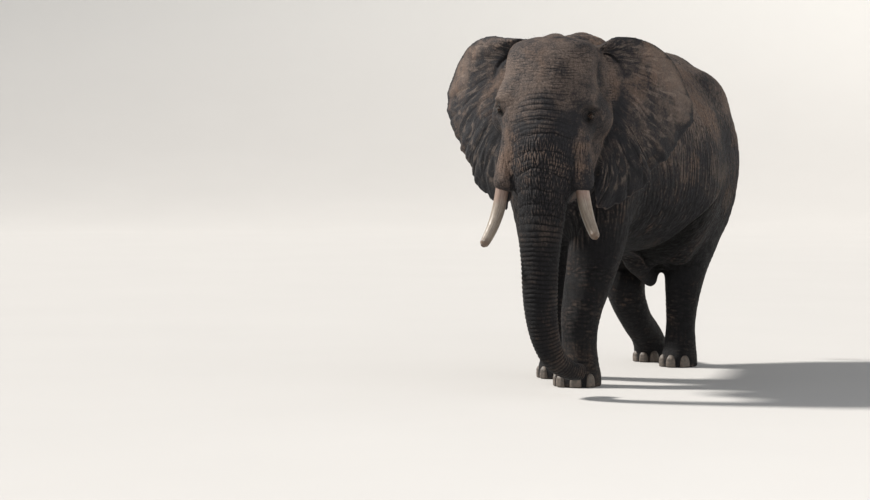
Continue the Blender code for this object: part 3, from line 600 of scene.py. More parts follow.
def stretched(points, direction, across, along):
    """Places in which a pattern's cells are across wide and along long in the given direction."""
    direction = unit(direction)
    far = (points @ direction)[:, None] * direction
    return (points - far) / across + far / along


def eye_place(s):
    """The eyeball's centre, from the body's own origin, and its radius."""
    low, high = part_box("eye_left" if s > 0 else "eye_right")
    return np.array((low + high) / 2) - HOME, (high.z - low.z) / 2


def eye_axes(s):
    """Out of the socket, towards the brow, and towards the nose."""
    out = HEAD_TURN @ unit((s * 0.86, -0.50, 0.02))
    up = unit(UP - out * out[2])
    return out, up, np.cross(out, up) * s


def eye_zone(points, low, high, shape=(1, 1, 1)):
    """1 nearer than low to an eyeball's centre, falling smoothly to 0 at high."""
    return np.max([fall(norm((points - eye_place(s)[0]) * shape), low, high) for _, s in SIDES], axis=0)


LID_HALF, LID_RISE = 0.035, 0.0215  # half the opening's length and height
LID_SLANT = 0.10  # how far the opening slants down towards the nose
LID_THICK = 0.007  # how far the lids stand over the eyeball


def lidded(points, s):
    """Moves the skin round an eye into two lids, the hollow round them, and the fold under the brow."""
    centre, radius = eye_place(s)
    out, up, nose = eye_axes(s)
    q = points - centre
    h, v, u = q @ out, q @ up, q @ nose
    near = fall(norm(q), 0.13, 0.20) * (h > -0.03)
    v = v - LID_SLANT * u
    across = np.hypot(u, v)
    e = np.hypot(u / LID_HALF, v / np.where(v > 0, LID_RISE, LID_RISE * 0.9))
    ball = np.sqrt(np.maximum(radius**2 - across**2, 0))
    lid = np.sqrt(np.maximum((radius + LID_THICK) ** 2 - across**2, 0)) + 0.004 * (v > 0)
    hollow = h - 0.016 * hill(e, 2.6, 2.0) + 0.018 * hill(v, 0.080, 0.045) * hill(u, 0.0, 0.13)
    wander = e + 0.35 * noise(points, 0.05, 40)
    folds = 0.0022 * np.cos(2 * np.pi * wander / 0.75) * hill(e, 2.6, 1.5) * (0.6 + 0.6 * noise(points, 0.06, 41))
    around = rise(e, 1.25, 2.0)
    target = (1 - around) * np.maximum(lid, hollow) + around * hollow + folds
    opened = rise(e, 0.98, 1.10)
    target = (1 - opened) * (ball - 0.012) + opened * target
    return points + out * ((target - h) * near)[:, None]


def trunk_relief(points, s, plane):
    """Rings, and the lengthwise wrinkles between them, as a height below the crests."""
    arc = 1 - np.cos(np.arctan2(plane[:, 0], plane[:, 1]))
    steps = np.linspace(0, 2.9, 600)
    spacing = np.interp(steps, *np.array(RINGS).T)
    phase = np.concatenate([[0], np.cumsum(np.diff(steps) / spacing[1:])])
    wander = noise(points, 0.26, 1) * 0.42 + noise(points, 0.08, 2) * 0.24
    place = s - (0.060 * fall(s, 0.9, 1.5) + 0.012) * np.minimum(arc, 1.3)
    turn = np.interp(place, steps, phase) + wander
    wide = rise(np.interp(place, steps, spacing), 0.045, 0.10)
    deep = (0.0080 + 0.0060 * wide - 0.003 * rise(s, 1.9, 2.7)) * (0.90 + 0.75 * noise(points, 0.11, 3))
    rings = deep * (np.abs(np.sin(np.pi * turn)) ** (0.70 - 0.42 * wide) - 1)
    high = fall(s, 0.48, 0.66)
    minor = 0.0046 * (np.abs(np.sin(np.pi * (place / 0.037 + 0.9 * wander))) ** 0.6 - 1)
    minor *= np.maximum(0.8 * rise(noise(points, 0.12, 4), -0.35, 0.35), high) * wide
    grain = np.column_stack([plane / 0.024, s / 0.095])
    return rings + minor + pillows(grain, 1.0, 0.34, 5) * (0.0062 * wide * (1 - high) + 0.0012)


# folds of the hide: depth, heading, how wide they are across it and along it, how wide the grooves are, seed
FOLDS = {
    "brow": (0.0048, (0, 0, 1), 0.150, 0.030, 0.36, 10),
    "sheath": (0.0060, (0, -0.22, -1), 0.034, 0.20, 0.36, 11),
    "cheek": (0.0070, (0, 0.45, -1), 0.055, 0.26, 0.36, 12),
    "neck": (0.0120, (0.1, 0.35, -1), 0.080, 0.55, 0.38, 13),
    "elbow": (0.0085, (0, -0.18, 1), 0.070, 0.75, 0.38, 14),
    "groin": (0.0070, (0, 0.75, 1), 0.068, 0.46, 0.38, 15),
    "flank": (0.0062, (0, 0.12, 1), 0.043, 0.55, 0.42, 16),
    "top": (0.0024, (0, 0.3, 1), 0.060, 0.10, 0.34, 31),
    "rump": (0.0055, (0, -0.2, 1), 0.070, 0.30, 0.36, 17),
    "joint": (1.0, (0, 0.12, 1), 0.13, 0.036, 0.36, 18),
    "leg": (0.0016, (0, 0, 1), 0.055, 0.30, 0.36, 32),
}
HEAD_FOLDS = ("sheath", "cheek")  # those that follow the turned head


def hide_relief(points, out):
    """Heights of the creased hide under its crests, and what the finish needs to know, for points of the skin."""
    local = from_head(points)
    x, y, z = points.T
    side, front, up = np.abs(local[:, 0]), -local[:, 1], local[:, 2]
    near_head = (local[:, 1] < 0.75) & (up < 0.8)
    s, plane, width = trunk_places(local[near_head])
    off = norm(plane) / width
    upper = fall(s, 1.0, 1.25)
    reach = fall(off, 1.02, 1.30) * (rise(plane[:, 1] / width, -0.35, 0.15) * upper + 1 - upper)
    trunk = spread_out(near_head, reach * rise(s, 0.06, 0.30))
    height = trunk * spread_out(near_head, trunk_relief(points[near_head], s, plane))
    ears = ear_relief(points, out)
    ear = ears.pop("weight")
    head = fall(local[:, 1], 0.45, 0.75) * (1 - trunk) * (1 - ear) * near_head
    legs = fall(z, 1.0, 1.5) * (1 - trunk) * (1 - ear) * (1 - head)
    body = (1 - legs) * (1 - trunk) * (1 - ear) * (1 - head)

    fine = pillows(points, 0.034, 0.30, 7)
    coarse = pillows(points + 0.02 * noise(points, 0.15, 8)[:, None], 0.085, 0.26, 9)
    height += (1 - ear) * (1 - 0.8 * trunk) * (0.0013 * fine * (1 - 0.4 * legs) + 0.0016 * (1 - 0.8 * legs) * coarse)

    # where each kind of fold lies
    lined = 0.15 + 0.85 * rise(noise(points, 0.30, 30), -0.15, 0.45)
    neck = body * fall(y, -0.75, -0.30)
    elbow = body * hill(y, 0.30, 0.60) * rise(z, 1.15, 1.45) * fall(z, 1.95, 2.45)
    groin = hill(y, 1.30, 0.62) * hill(z, 1.35, 0.62) * (1 - trunk)
    joint = np.maximum(hill(z, 0.60, 0.30), np.maximum(hill(z, 1.05, 0.22), hill(z, 0.20, 0.12)))
    where = {
        "brow": head * rise(up, -0.08, 0.05) * fall(up, 0.48, 0.62) * lined,
        "sheath": head * hill(side, 0.30, 0.20) * hill(up, -0.38, 0.34) * rise(front, -0.10, 0.10),
        "cheek": head * rise(local[:, 1], 0.05, 0.25) * fall(up, -0.10, 0.10),
        "neck": neck,
        "elbow": elbow,
        "groin": groin,
        "flank": body * (1 - 0.7 * elbow) * (1 - 0.6 * groin) * fall(z, 2.3, 2.75),
        "top": body * rise(z, 2.2, 2.6) * (1 - neck),
        "rump": body * rise(y, 1.9, 2.3) * fall(z, 2.3, 2.7),
        "joint": legs * (0.0007 + 0.0036 * joint),
        "leg": legs,
    }
    for name, (deep, heading, across, along, groove, seed) in FOLDS.items():
        places = stretched(local if name in HEAD_FOLDS else points, heading, across, along)
        height += where[name] * deep * pillows(places, 1.0, groove, seed)
    height -= 0.026 * head * hill(local[:, 1], 0.16, 0.24) * hill(up, 0.27, 0.30) * rise(side, 0.22, 0.34)
    height -= 0.020 * head * rise(front, 0.15, 0.30) * hill(side, 0.235, 0.10) * hill(up, -0.22, 0.36)
    ridge = np.exp(-((x / 0.045) ** 2)) * rise(z, 2.75, 2.9) * rise(y, 0.25, 0.5) * fall(y, 2.2, 2.5)
    height += 0.006 * np.cos(2 * np.pi * y / 0.105) * ridge
    fold = thigh_fold(points)
    height = (height - fold) * (1 - ear) + ears.pop("height") * ear
    height *= 1 - 0.75 * eye_zone(points, 0.07, 0.15)

    # Dust, and painted sunlight: more on the upper head, the back and the tusk sheaths, less on the trunk, the legs and
    # the lower body.
    dust_and_painted_light = 0.30 + 0.45 * noise(points, 0.55, 20) + 0.30 * noise(points, 0.17, 33, 4)
    dust_and_painted_light += 0.30 * head * rise(up, -0.2, 0.2) + 0.36 * rise(z, 2.1, 2.7) * body + 0.40 * where["sheath"]
    dust_and_painted_light -= 0.42 * trunk + 0.85 * legs + 0.45 * body * fall(z, 1.2, 2.1)
    dust_and_painted_light = dust_and_painted_light * (1 - ear) + ears.pop("dust_and_painted_light") * ear
    # Painted shade darkens the legs, lower trunk, lower body, lower ears, the thigh fold and the eye sockets; the legs
    # and trunk are partly also darker in their own tone.
    shade = 1 - 0.62 * legs - 0.55 * trunk * spread_out(near_head, rise(s, 0.5, 1.6))
    shade -= 9.0 * np.minimum(fold, 0.05) + 0.70 * eye_zone(points, 0, 0.12, (1, 1, 0.7))
    shade -= 0.48 * body * fall(z, 1.3, 2.3) + 0.25 * ear * fall(up, -0.5, 0.1)
    return height, body, {"dust_and_painted_light": np.clip(dust_and_painted_light, 0, 1), "shade": shade, "ear": ear, **ears}


# y, z up the fold between flank and thigh
THIGH_FOLD = ((0.62, 0.92), (0.85, 1.015), (0.90, 1.145), (1.00, 1.36), (1.20, 1.52), (1.50, 1.73), (1.72, 2.02))


def thigh_fold(points):
    """How far the skin sinks in the fold that rises from the groin, and on the thigh behind it."""
    path = smooth_table(THIGH_FOLD, 60)
    sunk = np.zeros(len(points))
    for _, s in SIDES:
        line = path + np.array((0.0 if s > 0 else 0.30, 0.0))
        near = np.flatnonzero((points[:, 0] * s > 0.12) & (points[:, 1] > 0.5) & (points[:, 2] < 2.2))
        q = points[near, 1:]
        gap = norm(q[:, None] - line[None])
        best = gap.argmin(axis=1)
        gap = gap[np.arange(len(q)), best]
        heading = unit(np.gradient(line, axis=0))[best]
        away = q - line[best]
        behind = heading[:, 1] * away[:, 0] - heading[:, 0] * away[:, 1]
        fade = hill(best, 27, 33)
        step = 0.055 * rise(behind, -0.020, 0.035) * fall(behind, 0.04, 0.50) * (gap < 0.6)
        sunk[near] = fade * (step + 0.030 * fall(gap, 0.0, 0.050))
    return sunk


def spread_out(chosen, values):
    """Values known for the chosen points only, and 0 for all the others."""
    whole = np.zeros(len(chosen))
    whole[chosen] = values
    return whole


def on_blade(u, t, across, down, layer):
    """Places on an ear for a pattern with so many cells along the rim and from root to rim."""
    return np.column_stack([u * across, t * down, np.full(len(u), layer)])


def ear_relief(points, out=None):
    """How much each point belongs to an ear, the height of its folds and veins, its dust with painted sunlight near the
    upper rim, and its place on the ear.

    Folds bend the whole blade: what stands out on its front, given by out, the skin's normals, is a dent behind."""
    found = {name: np.zeros(len(points)) for name in ("weight", "height", "dust_and_painted_light", "ear_u", "ear_t")}
    local = from_head(points)
    for _, s in SIDES:
        sheet, face = ear_middle(s)
        rows, columns = sheet.shape[:2]
        inner = 0.30 - 0.16 * rise(local[:, 2], 0.36, 0.46)
        near = np.flatnonzero((local[:, 0] * s > inner) & (local[:, 1] > 0.0) & (local[:, 2] > -0.95))
        place = nearest(sheet.reshape(-1, 3), local[near])
        u, t = place // columns, place % columns
        off = local[near] - sheet[u, t]
        slips = []
        for axis in (0, 1):
            step = np.gradient(sheet, axis=axis)[u, t]
            slips.append(np.clip((off * step).sum(axis=1) / (step * step).sum(axis=1), -1.5, 1.5))
            off -= step * slips[-1][:, None]
        u, t = (u + slips[0]) / (rows - 1), (t + slips[1]) / (columns - 1)
        bent = u + 0.05 * noise(points[near], 0.35, 27)
        folds = pillows(on_blade(bent, t, 21, 1.9, 3.0 * s), 1.0, 0.50, 21) * (0.0030 + 0.0050 * rise(t, 0.15, 0.6))
        folds *= 1 + 0.9 * rise(u, 0.35, 0.7)
        folds -= 0.018 * hill(t, 0.14, 0.06) * hill(u, 0.20, 0.30)
        veins = noise(on_blade(bent, t, 13, 1.8, 1.0), 1.0, 22) * 0.010
        swells = noise(on_blade(bent, t, 5, 1.6, 4.0), 1.0, 25) * 0.016
        facing = 1.0 if out is None else out[near] @ HEAD_TURN @ face
        # Dust on the ear, with painted sunlight on its upper part near the rim, and less towards its lower edge.
        dust_and_painted_light = 0.36 + 0.32 * noise(on_blade(bent, t, 17, 2.6, 2.0), 1.0, 24, 4)
        dust_and_painted_light += 0.50 * noise(points[near], 0.20, 26, 4) + 0.40 * noise(points[near], 0.60, 28)
        dust_and_painted_light += 0.45 * hill(t, 0.80, 0.50) * hill(u, 0.28, 0.28) - 0.40 * rise(u, 0.45, 0.75)
        here = {
            "weight": fall(norm(off), 0.045, 0.075) * rise(t, 0.02, 0.16),
            "height": facing * (folds + veins + swells) + pillows(points[near], 0.040, 0.34, 23) * 0.0012,
            "dust_and_painted_light": dust_and_painted_light - 0.50 * rise(t, 0.90, 1.0) - 0.22 * (s < 0),
            "ear_u": bent,
            "ear_t": t,
        }
        nearer = here["weight"] > found["weight"][near]
        for name, values in here.items():
            found[name][near] = np.where(nearer, values, found[name][near])
    return found


# ---------------------------------------------------------------- meshes
def mesh_object(name, points, quads, others=()):
    """A smooth-shaded mesh object of quads or triangles, and a few other faces."""
    mesh = bpy.data.meshes.new(name)
    sizes = np.concatenate([np.full(len(quads), quads.shape[1]), [len(face) for face in others]]).astype(np.int32)
    corners = np.concatenate([quads.ravel(), [k for face in others for k in face]]).astype(np.int32)
    mesh.vertices.add(len(points))
    mesh.vertices.foreach_set("co", np.asarray(points, np.float32).ravel())
    mesh.loops.add(len(corners))
    mesh.loops.foreach_set("vertex_index", corners)
    mesh.polygons.add(len(sizes))
    mesh.polygons.foreach_set("loop_start", (np.cumsum(sizes) - sizes).astype(np.int32))
    mesh.update(calc_edges=True)
    mesh.shade_smooth()
    body = bpy.data.objects.new(name, mesh)
    bpy.context.scene.collection.objects.link(body)
    return body


def normals(body):
    """Which way the surface faces at each vertex."""
    return read(body.data.vertex_normals, "vector")


def give(body, name, values):
    """Stores one number for each vertex, for the finish to read."""
    layer = body.data.attributes.new(name, "FLOAT", "POINT")
    layer.data.foreach_set("value", np.asarray(values, np.float32))


# ---------------------------------------------------------------- the skin
def skin_parts():
    """What the skin is melted from, in order: bodies, how wide their joins are rounded, and how far they grow."""
    skull, features, trunk, jaw = ([(on_head(points), faces) for points, faces in group] for group in head_bodies())
    ears = [(on_head(points), faces) for points, faces in (ear_body(s) for _, s in SIDES)]
    return (
        ([torso_body()], 0.01, 0),
        (leg_bodies(), 0.16, 0),
        ([neck_body()], 0.20, 0),
        (torso_lumps(), 0.10, 0),
        (skull, 0.12, 0),
        (features, 0.11, 0),
        (trunk, 0.10, 0),
        (jaw, 0.05, 0),
        ([tail_body()], 0.06, 0),
        (ears, 0.032, EAR_EDGE),
    )


def make_skin(look):
    """The melted skin: relaxed on the ears, finer on head, ears and lids, lidded, then creased."""
    points, quads = melted(skin_parts(), look.grid)
    a, b, c = (points[quads[:, k]] for k in (0, 1, 3))
    if np.einsum("ij,ij->i", a, np.cross(b - a, c - a)).sum() < 0:
        quads = quads[:, ::-1]
    others = []
    ear_share = ear_relief(points)["weight"]
    points = relaxed(points, quads, 5, 0.5 * rise(ear_share, 0.2, 0.5))
    local = from_head(points[quads].mean(axis=1))
    fine = (local[:, 1] < 0.50) & (np.abs(local[:, 0]) < 0.62) & (local[:, 2] < 0.75)
    fine |= ear_share[quads].mean(axis=1) > 0.3
    points, quads = refined(points, quads, others, fine)
    points, quads = refined(points, quads, others, eye_zone(points[quads].mean(axis=1), 0.13, 0.14) > 0)
    points = relaxed(points, quads, 4, 0.5)
    for _, s in SIDES:
        points = lidded(points, s)
    points = relaxed(points, quads, 1, 0.3 * rise(eye_zone(points, 0, 0.12), 0.2, 0.5))
    points[:, 2] = np.maximum(points[:, 2], 0)
    skin = mesh_object("elephant_skin", points, quads, others)
    out = normals(skin)
    height, body, zones = hide_relief(points, out)
    height *= look.relief * rise(points[:, 2], 0.0, 0.02)
    points = points + out * (height + look.fullness)[:, None]
    points[:, 2] = np.maximum(points[:, 2], 0)
    skin.data.vertices.foreach_set("co", (points + HOME).astype(np.float32).ravel())
    skin.data.update()
    out = normals(skin)
    # How far each point lies below the middle of its neighbours, which the finish uses to paint shade and dirt into
    # creases and hollows.
    for name, rounds, depth in (("crease", 6, 0.0022), ("hollow", 40, 0.0070)):
        sunk = ((relaxed(points, quads, rounds, 0.5) - points) * out).sum(axis=1)
        zones[name] = np.clip(sunk / (depth * (1 + 0.4 * body)), -1, 1)
    # A ring round each eye, which the finish paints dark: painted shade of the socket, with darker wet skin.
    zones["rim"] = eye_zone(points, 0.034, 0.056)
    for name, values in zones.items():
        give(skin, name, values)
    return skin


# ---------------------------------------------------------------- finishes
class Finish:
    """A material being built. A socket given as a value is linked, and anything else is set."""

    def __init__(self, name):
        self.material = bpy.data.materials.new(name)
        self.material.use_nodes = True
        self.tree = self.material.node_tree
        self.tree.nodes.clear()

    def node(self, kind, inputs, output=0, **settings):
        node = self.tree.nodes.new(kind)
        for name, value in settings.items():
            setattr(node, name, value)
        for name, value in inputs.items():
            socket = node.inputs[name]
            if isinstance(value, bpy.types.NodeSocket):
                self.tree.links.new(value, socket)
            else:
                socket.default_value = value
        return node.outputs[output] if node.outputs else node

    def place(self):
        return self.node("ShaderNodeTexCoord", {}, "Object")

    def stored(self, *names):
        """Numbers that the mesh carries for each vertex."""
        return [self.node("ShaderNodeAttribute", {}, "Fac", attribute_name=name) for name in names]

    def math(self, operation, a, b):
        return self.node("ShaderNodeMath", {0: a, 1: b}, operation=operation)

    def times(self, a, b):
        return self.math("MULTIPLY", a, b)

    def plus(self, a, b, share=None):
        return self.math("ADD", a, b if share is None else self.times(b, share))

    def swing(self, value, share):
        """A pattern from 0 to 1 turned into one round 0."""
        return self.times(self.math("SUBTRACT", value, 0.5), share)

    def vector(self, operation, a, b=(0, 0, 0), output=0):
        return self.node("ShaderNodeVectorMath", {0: a, 1: b}, output, operation=operation)

    def noise(self, vector, scale, detail=3.0, rough=0.55, twist=0.0):
        inputs = {"Vector": vector, "Scale": scale, "Detail": detail, "Roughness": rough, "Distortion": twist}
        return self.node("ShaderNodeTexNoise", inputs)

    def net(self, vector, scale):
        """Distance to the border between cells, 0 on it."""
        inputs = {"Vector": vector, "Scale": scale}
        return self.node("ShaderNodeTexVoronoi", inputs, feature="DISTANCE_TO_EDGE")

    def span(self, value, low, high, start=0.0, end=1.0):
        inputs = {"Value": value, "From Min": low, "From Max": high, "To Min": start, "To Max": end}
        return self.node("ShaderNodeMapRange", inputs, interpolation_type="SMOOTHSTEP")

    def mix(self, share, a, b, how="MIX"):
        """Colours a and b mixed: b by its share."""
        a, b = ((*value, 1.0) if not isinstance(value, bpy.types.NodeSocket) else value for value in (a, b))
        return self.node("ShaderNodeMix", {0: share, 6: a, 7: b}, 2, data_type="RGBA", blend_type=how)

    def bump(self, height, depth, strength=1.0):
        return self.node("ShaderNodeBump", {"Height": height, "Distance": depth, "Strength": strength})

    def surface(self, **inputs):
        """The shader's own sockets, with _ for a space in their names."""
        named = {name.replace("_", " "): value for name, value in inputs.items()}
        shader = self.node("ShaderNodeBsdfPrincipled", named)
        self.node("ShaderNodeOutputMaterial", {"Surface": shader})
        return self.material


def hide_finish(look):
    """Dark hide: dust and painted sunlight on crests and upper parts, nearly black in cracks, painted shade in folds,
    hollows, eye sockets and low parts, and streaked on the ears.
    """
    f = Finish("creased_hide")
    place = f.place()
    dust_and_painted_light, shade, crease, hollow, ear, rim, ear_u, ear_t = f.stored(
        "dust_and_painted_light", "shade", "crease", "hollow", "ear", "rim", "ear_u", "ear_t"
    )
    bent = f.vector("ADD", place, f.vector("MULTIPLY", f.noise(place, 9.0, 4.0), (0.03,) * 3))
    net = f.span(f.net(bent, 95.0), 0.0, 0.20)
    wide_net = f.span(f.net(bent, 40.0), 0.0, 0.12)
    mottle = f.noise(place, 13.0, 5.0, 0.65, 0.6)

    # The dust colour's share, which also paints sunlight on the upper parts; less in creases.
    dusty = f.plus(f.plus(dust_and_painted_light, f.swing(f.noise(place, 2.6, 5.0, 0.62), 2.2)), f.swing(mottle, 1.3))
    dusty = f.span(f.math("SUBTRACT", dusty, f.times(crease, 0.45)), 0.05, 1.00)
    warm = f.times(f.times(f.span(f.noise(place, 1.6, 4.0), 0.46, 0.62), dusty), 0.55)
    cracks = f.math("SUBTRACT", 0.34, f.times(ear, 0.34))
    cracks = f.times(f.math("SUBTRACT", 1.0, wide_net), cracks)
    blade = f.node("ShaderNodeCombineXYZ", {"X": f.times(ear_u, 46.0), "Y": f.times(ear_t, 5.0)})
    streak = f.times(f.span(f.noise(blade, 1.0, 4.0, 0.6, 0.4), 0.50, 0.68), ear)
    fan = f.times(f.times(streak, f.span(ear_t, 0.10, 0.35)), f.span(ear_t, 0.95, 0.70))
    base = f.mix(dusty, look.dark, look.dusty)
    for share, over in (
        (warm, look.warm),
        # Painted shade with dirt: creases and hollows darkened towards the groove colour.
        (f.times(f.span(crease, 0.0, 0.85), 0.80), look.groove),
        (f.times(f.span(hollow, 0.0, 0.9), 0.60), look.groove),
        (cracks, look.groove),
        # Painted shade round each eye.
        (f.times(rim, 0.88), look.groove),
        (f.times(fan, 0.35), look.streak),
    ):
        base = f.mix(share, base, over)
    speck = f.span(f.noise(place, 75.0, 3.0, 0.7), 0.35, 0.75, 0.82, 1.18)
    # Speckles and lighter crests, times the painted shade held in shade.
    tone = f.times(f.times(speck, f.span(crease, -0.8, 0.0, 1.35, 1.0)), shade)
    base = f.mix(1.0, base, f.node("ShaderNodeCombineColor", dict.fromkeys(range(3), tone)), "MULTIPLY")
    height = f.plus(f.plus(f.times(net, 0.8), wide_net, 0.8), f.noise(place, 240.0, 3.0, 0.6), 0.35)
    rough = f.span(mottle, 0.3, 0.7, 0.60, 0.82)
    return f.surface(Base_Color=base, Roughness=rough, Normal=f.bump(height, 0.0022, 0.9), Specular_IOR_Level=0.13)


def tusk_finish(look):
    """Old ivory: fine cracks along it, stains towards the root, and a brown core at the worn tip."""
    f = Finish("worn_ivory")
    along, core, c, s = f.stored("along", "core", "turn_c", "turn_s")
    grain = f.node("ShaderNodeCombineXYZ", {"X": c, "Y": s, "Z": f.times(along, 0.55)})
    streak = f.noise(grain, 5.5, 5.0, 0.6)
    crack = f.span(f.net(f.vector("MULTIPLY", grain, (1.0, 1.0, 0.7)), 9.0), 0.0, 0.05)
    blotch = f.noise(f.place(), 16.0, 5.0, 0.6)
    root = f.plus(f.span(along, 0.32, 0.05), f.swing(blotch, 0.5))
    tip = f.times(f.span(along, 0.84, 0.98), f.span(blotch, 0.30, 0.50))
    base = look.ivory
    for share, amount, over in (
        (f.span(streak, 0.36, 0.66), 0.8, look.stain),
        (f.span(blotch, 0.48, 0.72), 0.55, look.stain),
        (root, 0.55, look.root),
        (f.math("SUBTRACT", 1.0, crack), 0.22, look.core),
        (f.span(core, 0.12, 0.40), 0.90, look.core),
        (tip, 0.80, look.core),
    ):
        base = f.mix(f.times(share, amount), base, over)
    height = f.plus(f.plus(f.times(crack, 0.5), streak, 0.6), f.noise(grain, 60.0, 2.0), 0.15)
    rough = f.span(blotch, 0.35, 0.7, 0.32, 0.55)
    return f.surface(Base_Color=base, Roughness=rough, Normal=f.bump(height, 0.0012), Coat_Weight=0.08)


def eye_finish(look):
    """A wet eye: the pupil, a fibrous brown iris with a dark rim, and a brown white. Local +Z looks out."""
    f = Finish("wet_eye")
    place = f.place()
    flat = f.vector("MULTIPLY", place, (1, 1, 0))
    depth = f.node("ShaderNodeSeparateXYZ", {"Vector": place}, "Z")
    angle = f.math("ARCTAN2", f.vector("LENGTH", flat, output="Value"), depth)
    fibre = f.vector("ADD", f.vector("NORMALIZE", flat), f.vector("MULTIPLY", place, (3,) * 3))
    white = f.mix(f.noise(place, 90.0, 3.0), (0.014, 0.008, 0.006), (0.035, 0.022, 0.017))
    base = f.mix(f.span(f.noise(fibre, 7.0, 3.0), 0.35, 0.68), look.iris, look.iris_light)
    base = f.mix(f.span(angle, 0.44, 0.60), base, (0.010, 0.006, 0.004))
    base = f.mix(f.span(angle, 0.60, 0.66), base, white)
    base = f.mix(f.span(angle, 0.24, 0.21), base, (0.002, 0.002, 0.002))
    return f.surface(Base_Color=base, Roughness=0.35, Specular_IOR_Level=0.10, Coat_Weight=0.18, Coat_Roughness=0.03)


def nail_finish(look):
    """Horn with fine upright ridges, paler at the worn lower edge and dusty by the skin."""
    f = Finish("ridged_horn")
    place = f.place()
    ridge = f.noise(f.vector("MULTIPLY", place, (1, 1, 0.12)), 130.0, 3.0)
    blotch = f.noise(place, 38.0, 4.0, 0.6)
    base = f.mix(f.span(ridge, 0.35, 0.65), look.horn, look.horn_light)
    base = f.mix(f.times(f.span(blotch, 0.42, 0.68), 0.6), base, look.dusty)
    base = f.mix(f.times(f.span(*f.stored("height"), 0.45, 0.05), 0.5), base, look.horn_light)
    return f.surface(Base_Color=base, Roughness=f.span(blotch, 0.3, 0.7, 0.5, 0.75), Normal=f.bump(ridge, 0.0012, 0.8))


def hair_finish(look):
    """Wiry black hair, some of it lighter."""
    f = Finish("wiry_bristle")
    tone = f.noise(f.place(), 60.0, 2.0)
    base = f.mix(f.span(tone, 0.35, 0.7), look.hair, tuple(3.2 * v for v in look.hair))
    return f.surface(Base_Color=base, Roughness=f.span(tone, 0.3, 0.7, 0.34, 0.5), Specular_IOR_Level=0.5)


# ---------------------------------------------------------------- pieces
def finished(piece, material, slot, *nodes):
    """Puts a piece in the frame with its finish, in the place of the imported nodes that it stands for."""
    piece.data.materials.append(material)
    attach(piece, "root")
    if nodes:
        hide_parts(*nodes)
    return piece


def ring_grid(rings):
    """Points and quads of rings of equal count, one after another, closed round and open at the ends."""
    rings = np.array(rings)
    count, around = rings.shape[:2]
    k = np.arange(around)
    start = np.arange(count - 1)[:, None] * around
    a, b = start + k, start + (k + 1) % around
    return rings.reshape(-1, 3), np.stack([a, b, b + around, a + around], axis=2).reshape(-1, 4)


def hoop(radius, level, around):
    """A level ring about the z axis."""
    angle = np.linspace(0, 2 * np.pi, around, endpoint=False)
    return np.stack([radius * np.cos(angle), radius * np.sin(angle), np.full(around, level)], 1)


def make_eye(name, s, material):
    """An eyeball with its clear bulge over the iris, looking out of the socket."""
    centre, radius = eye_place(s)
    out, up, nose = eye_axes(s)
    gaze = unit(out + 0.42 * nose - 0.10 * up)
    side = unit(np.cross(up, gaze))
    around = 48
    polar = np.linspace(0, np.pi, around + 1)[1:-1]
    reach = radius * (1 + 0.085 * fall(polar, 0.10, 0.58))
    points, quads = ring_grid([hoop(r * math.sin(p), r * math.cos(p), around) for p, r in zip(polar, reach)])
    ends = len(points)
    points = np.concatenate([points, [(0, 0, reach[0]), (0, 0, -reach[-1])]])
    last = ends - around
    caps = [(ends, (j + 1) % around, j) for j in range(around)]
    caps += [(ends + 1, last + j, last + (j + 1) % around) for j in range(around)]
    eye = mesh_object(f"eyeball_{name}", points, quads[:, ::-1], caps)
    turn = Matrix(np.column_stack([side, np.cross(gaze, side), gaze]).tolist()).to_4x4()
    eye.matrix_world = Matrix.Translation(Vector(centre + HOME)) @ turn
    return finished(eye, material, "eyeball", f"eye_{name}")


TUSKS = (("left", 1, 0.335, 0.155, 0.385), ("right", -1, 0.360, 0.115, 0.460))  # root, splay and drop of each
TUSK_WIDTHS = ((-0.35, 0.054), (0.0, 0.056), (0.3, 0.056), (0.6, 0.050), (0.85, 0.044), (1.0, 0.036))
TUSK_END = (0.82, 0.64, 0.46, 0.28, 0.10)  # the rings over the worn end, as shares of its width


def make_tusk(name, s, root, splay, drop, material):
    """A worn tusk with shallow flutes along it and a rounded, stepped end."""
    rows = []
    for t, radius in TUSK_WIDTHS:
        x = root + splay * (0.45 * t + 0.55 * t * max(t, 0))
        y = -0.255 - 0.05 * t - 0.17 * max(t, 0) ** 2
        z = -0.66 - drop * (t - 0.12 * max(t, 0) ** 2) / 0.88
        rows.append((s * x, y, z, radius, t))
    fine = smooth_table(rows, 90)
    around = 64
    angle = np.linspace(0, 2 * np.pi, around, endpoint=False)
    along = unit(np.gradient(fine[:, :3], axis=0))
    end = norm(fine[:, :3] - fine[-1, :3])
    rings = []
    for k, row in enumerate(fine):
        front = unit(np.cross(along[k], (1, 0, 0)))
        spokes = np.outer(np.cos(angle), np.cross(front, along[k])) + np.outer(np.sin(angle), front)
        width = row[3] * (1 - 0.42 * fall(end[k], 0.0, 0.030) ** 1.5)
        flutes = 1 - 0.006 * (0.5 + 0.5 * np.cos(5 * angle + 3 * row[4])) - 0.002 * np.cos(17 * angle + s)
        rings.append(row[:3] + spokes * (width * flutes)[:, None])
    rings += [row[:3] + along[-1] * (0.004 * share - 0.004) + spokes * (width * share) for share in TUSK_END]
    points, quads = ring_grid(rings)
    count = len(rings)
    caps = [list(range(around)), [(count - 1) * around + k for k in range(around - 1, -1, -1)]]
    tusk = mesh_object(f"tusk_ivory_{name}", on_head(points) + HOME, quads[:, ::-1], caps)
    give(tusk, "along", np.repeat([*fine[:, 4], *[row[4]] * len(TUSK_END)], around))
    give(tusk, "core", np.repeat([*[0] * len(fine), *(1 - share for share in TUSK_END)], around))
    give(tusk, "turn_c", np.tile(np.cos(angle), count))
    give(tusk, "turn_s", np.tile(np.sin(angle), count))
    return finished(tusk, material, "ivory", f"tusk_{name}")


# each foot's name, and which way its nails face, in degrees from straight ahead
FOOT_NAILS = (
    ("fore_left", (-57, -19, 19, 57)),
    ("fore_right", (-57, -19, 19, 57)),
    ("hind_left", (-38, 0, 38)),
    ("hind_right", (-38, 0, 38)),
)


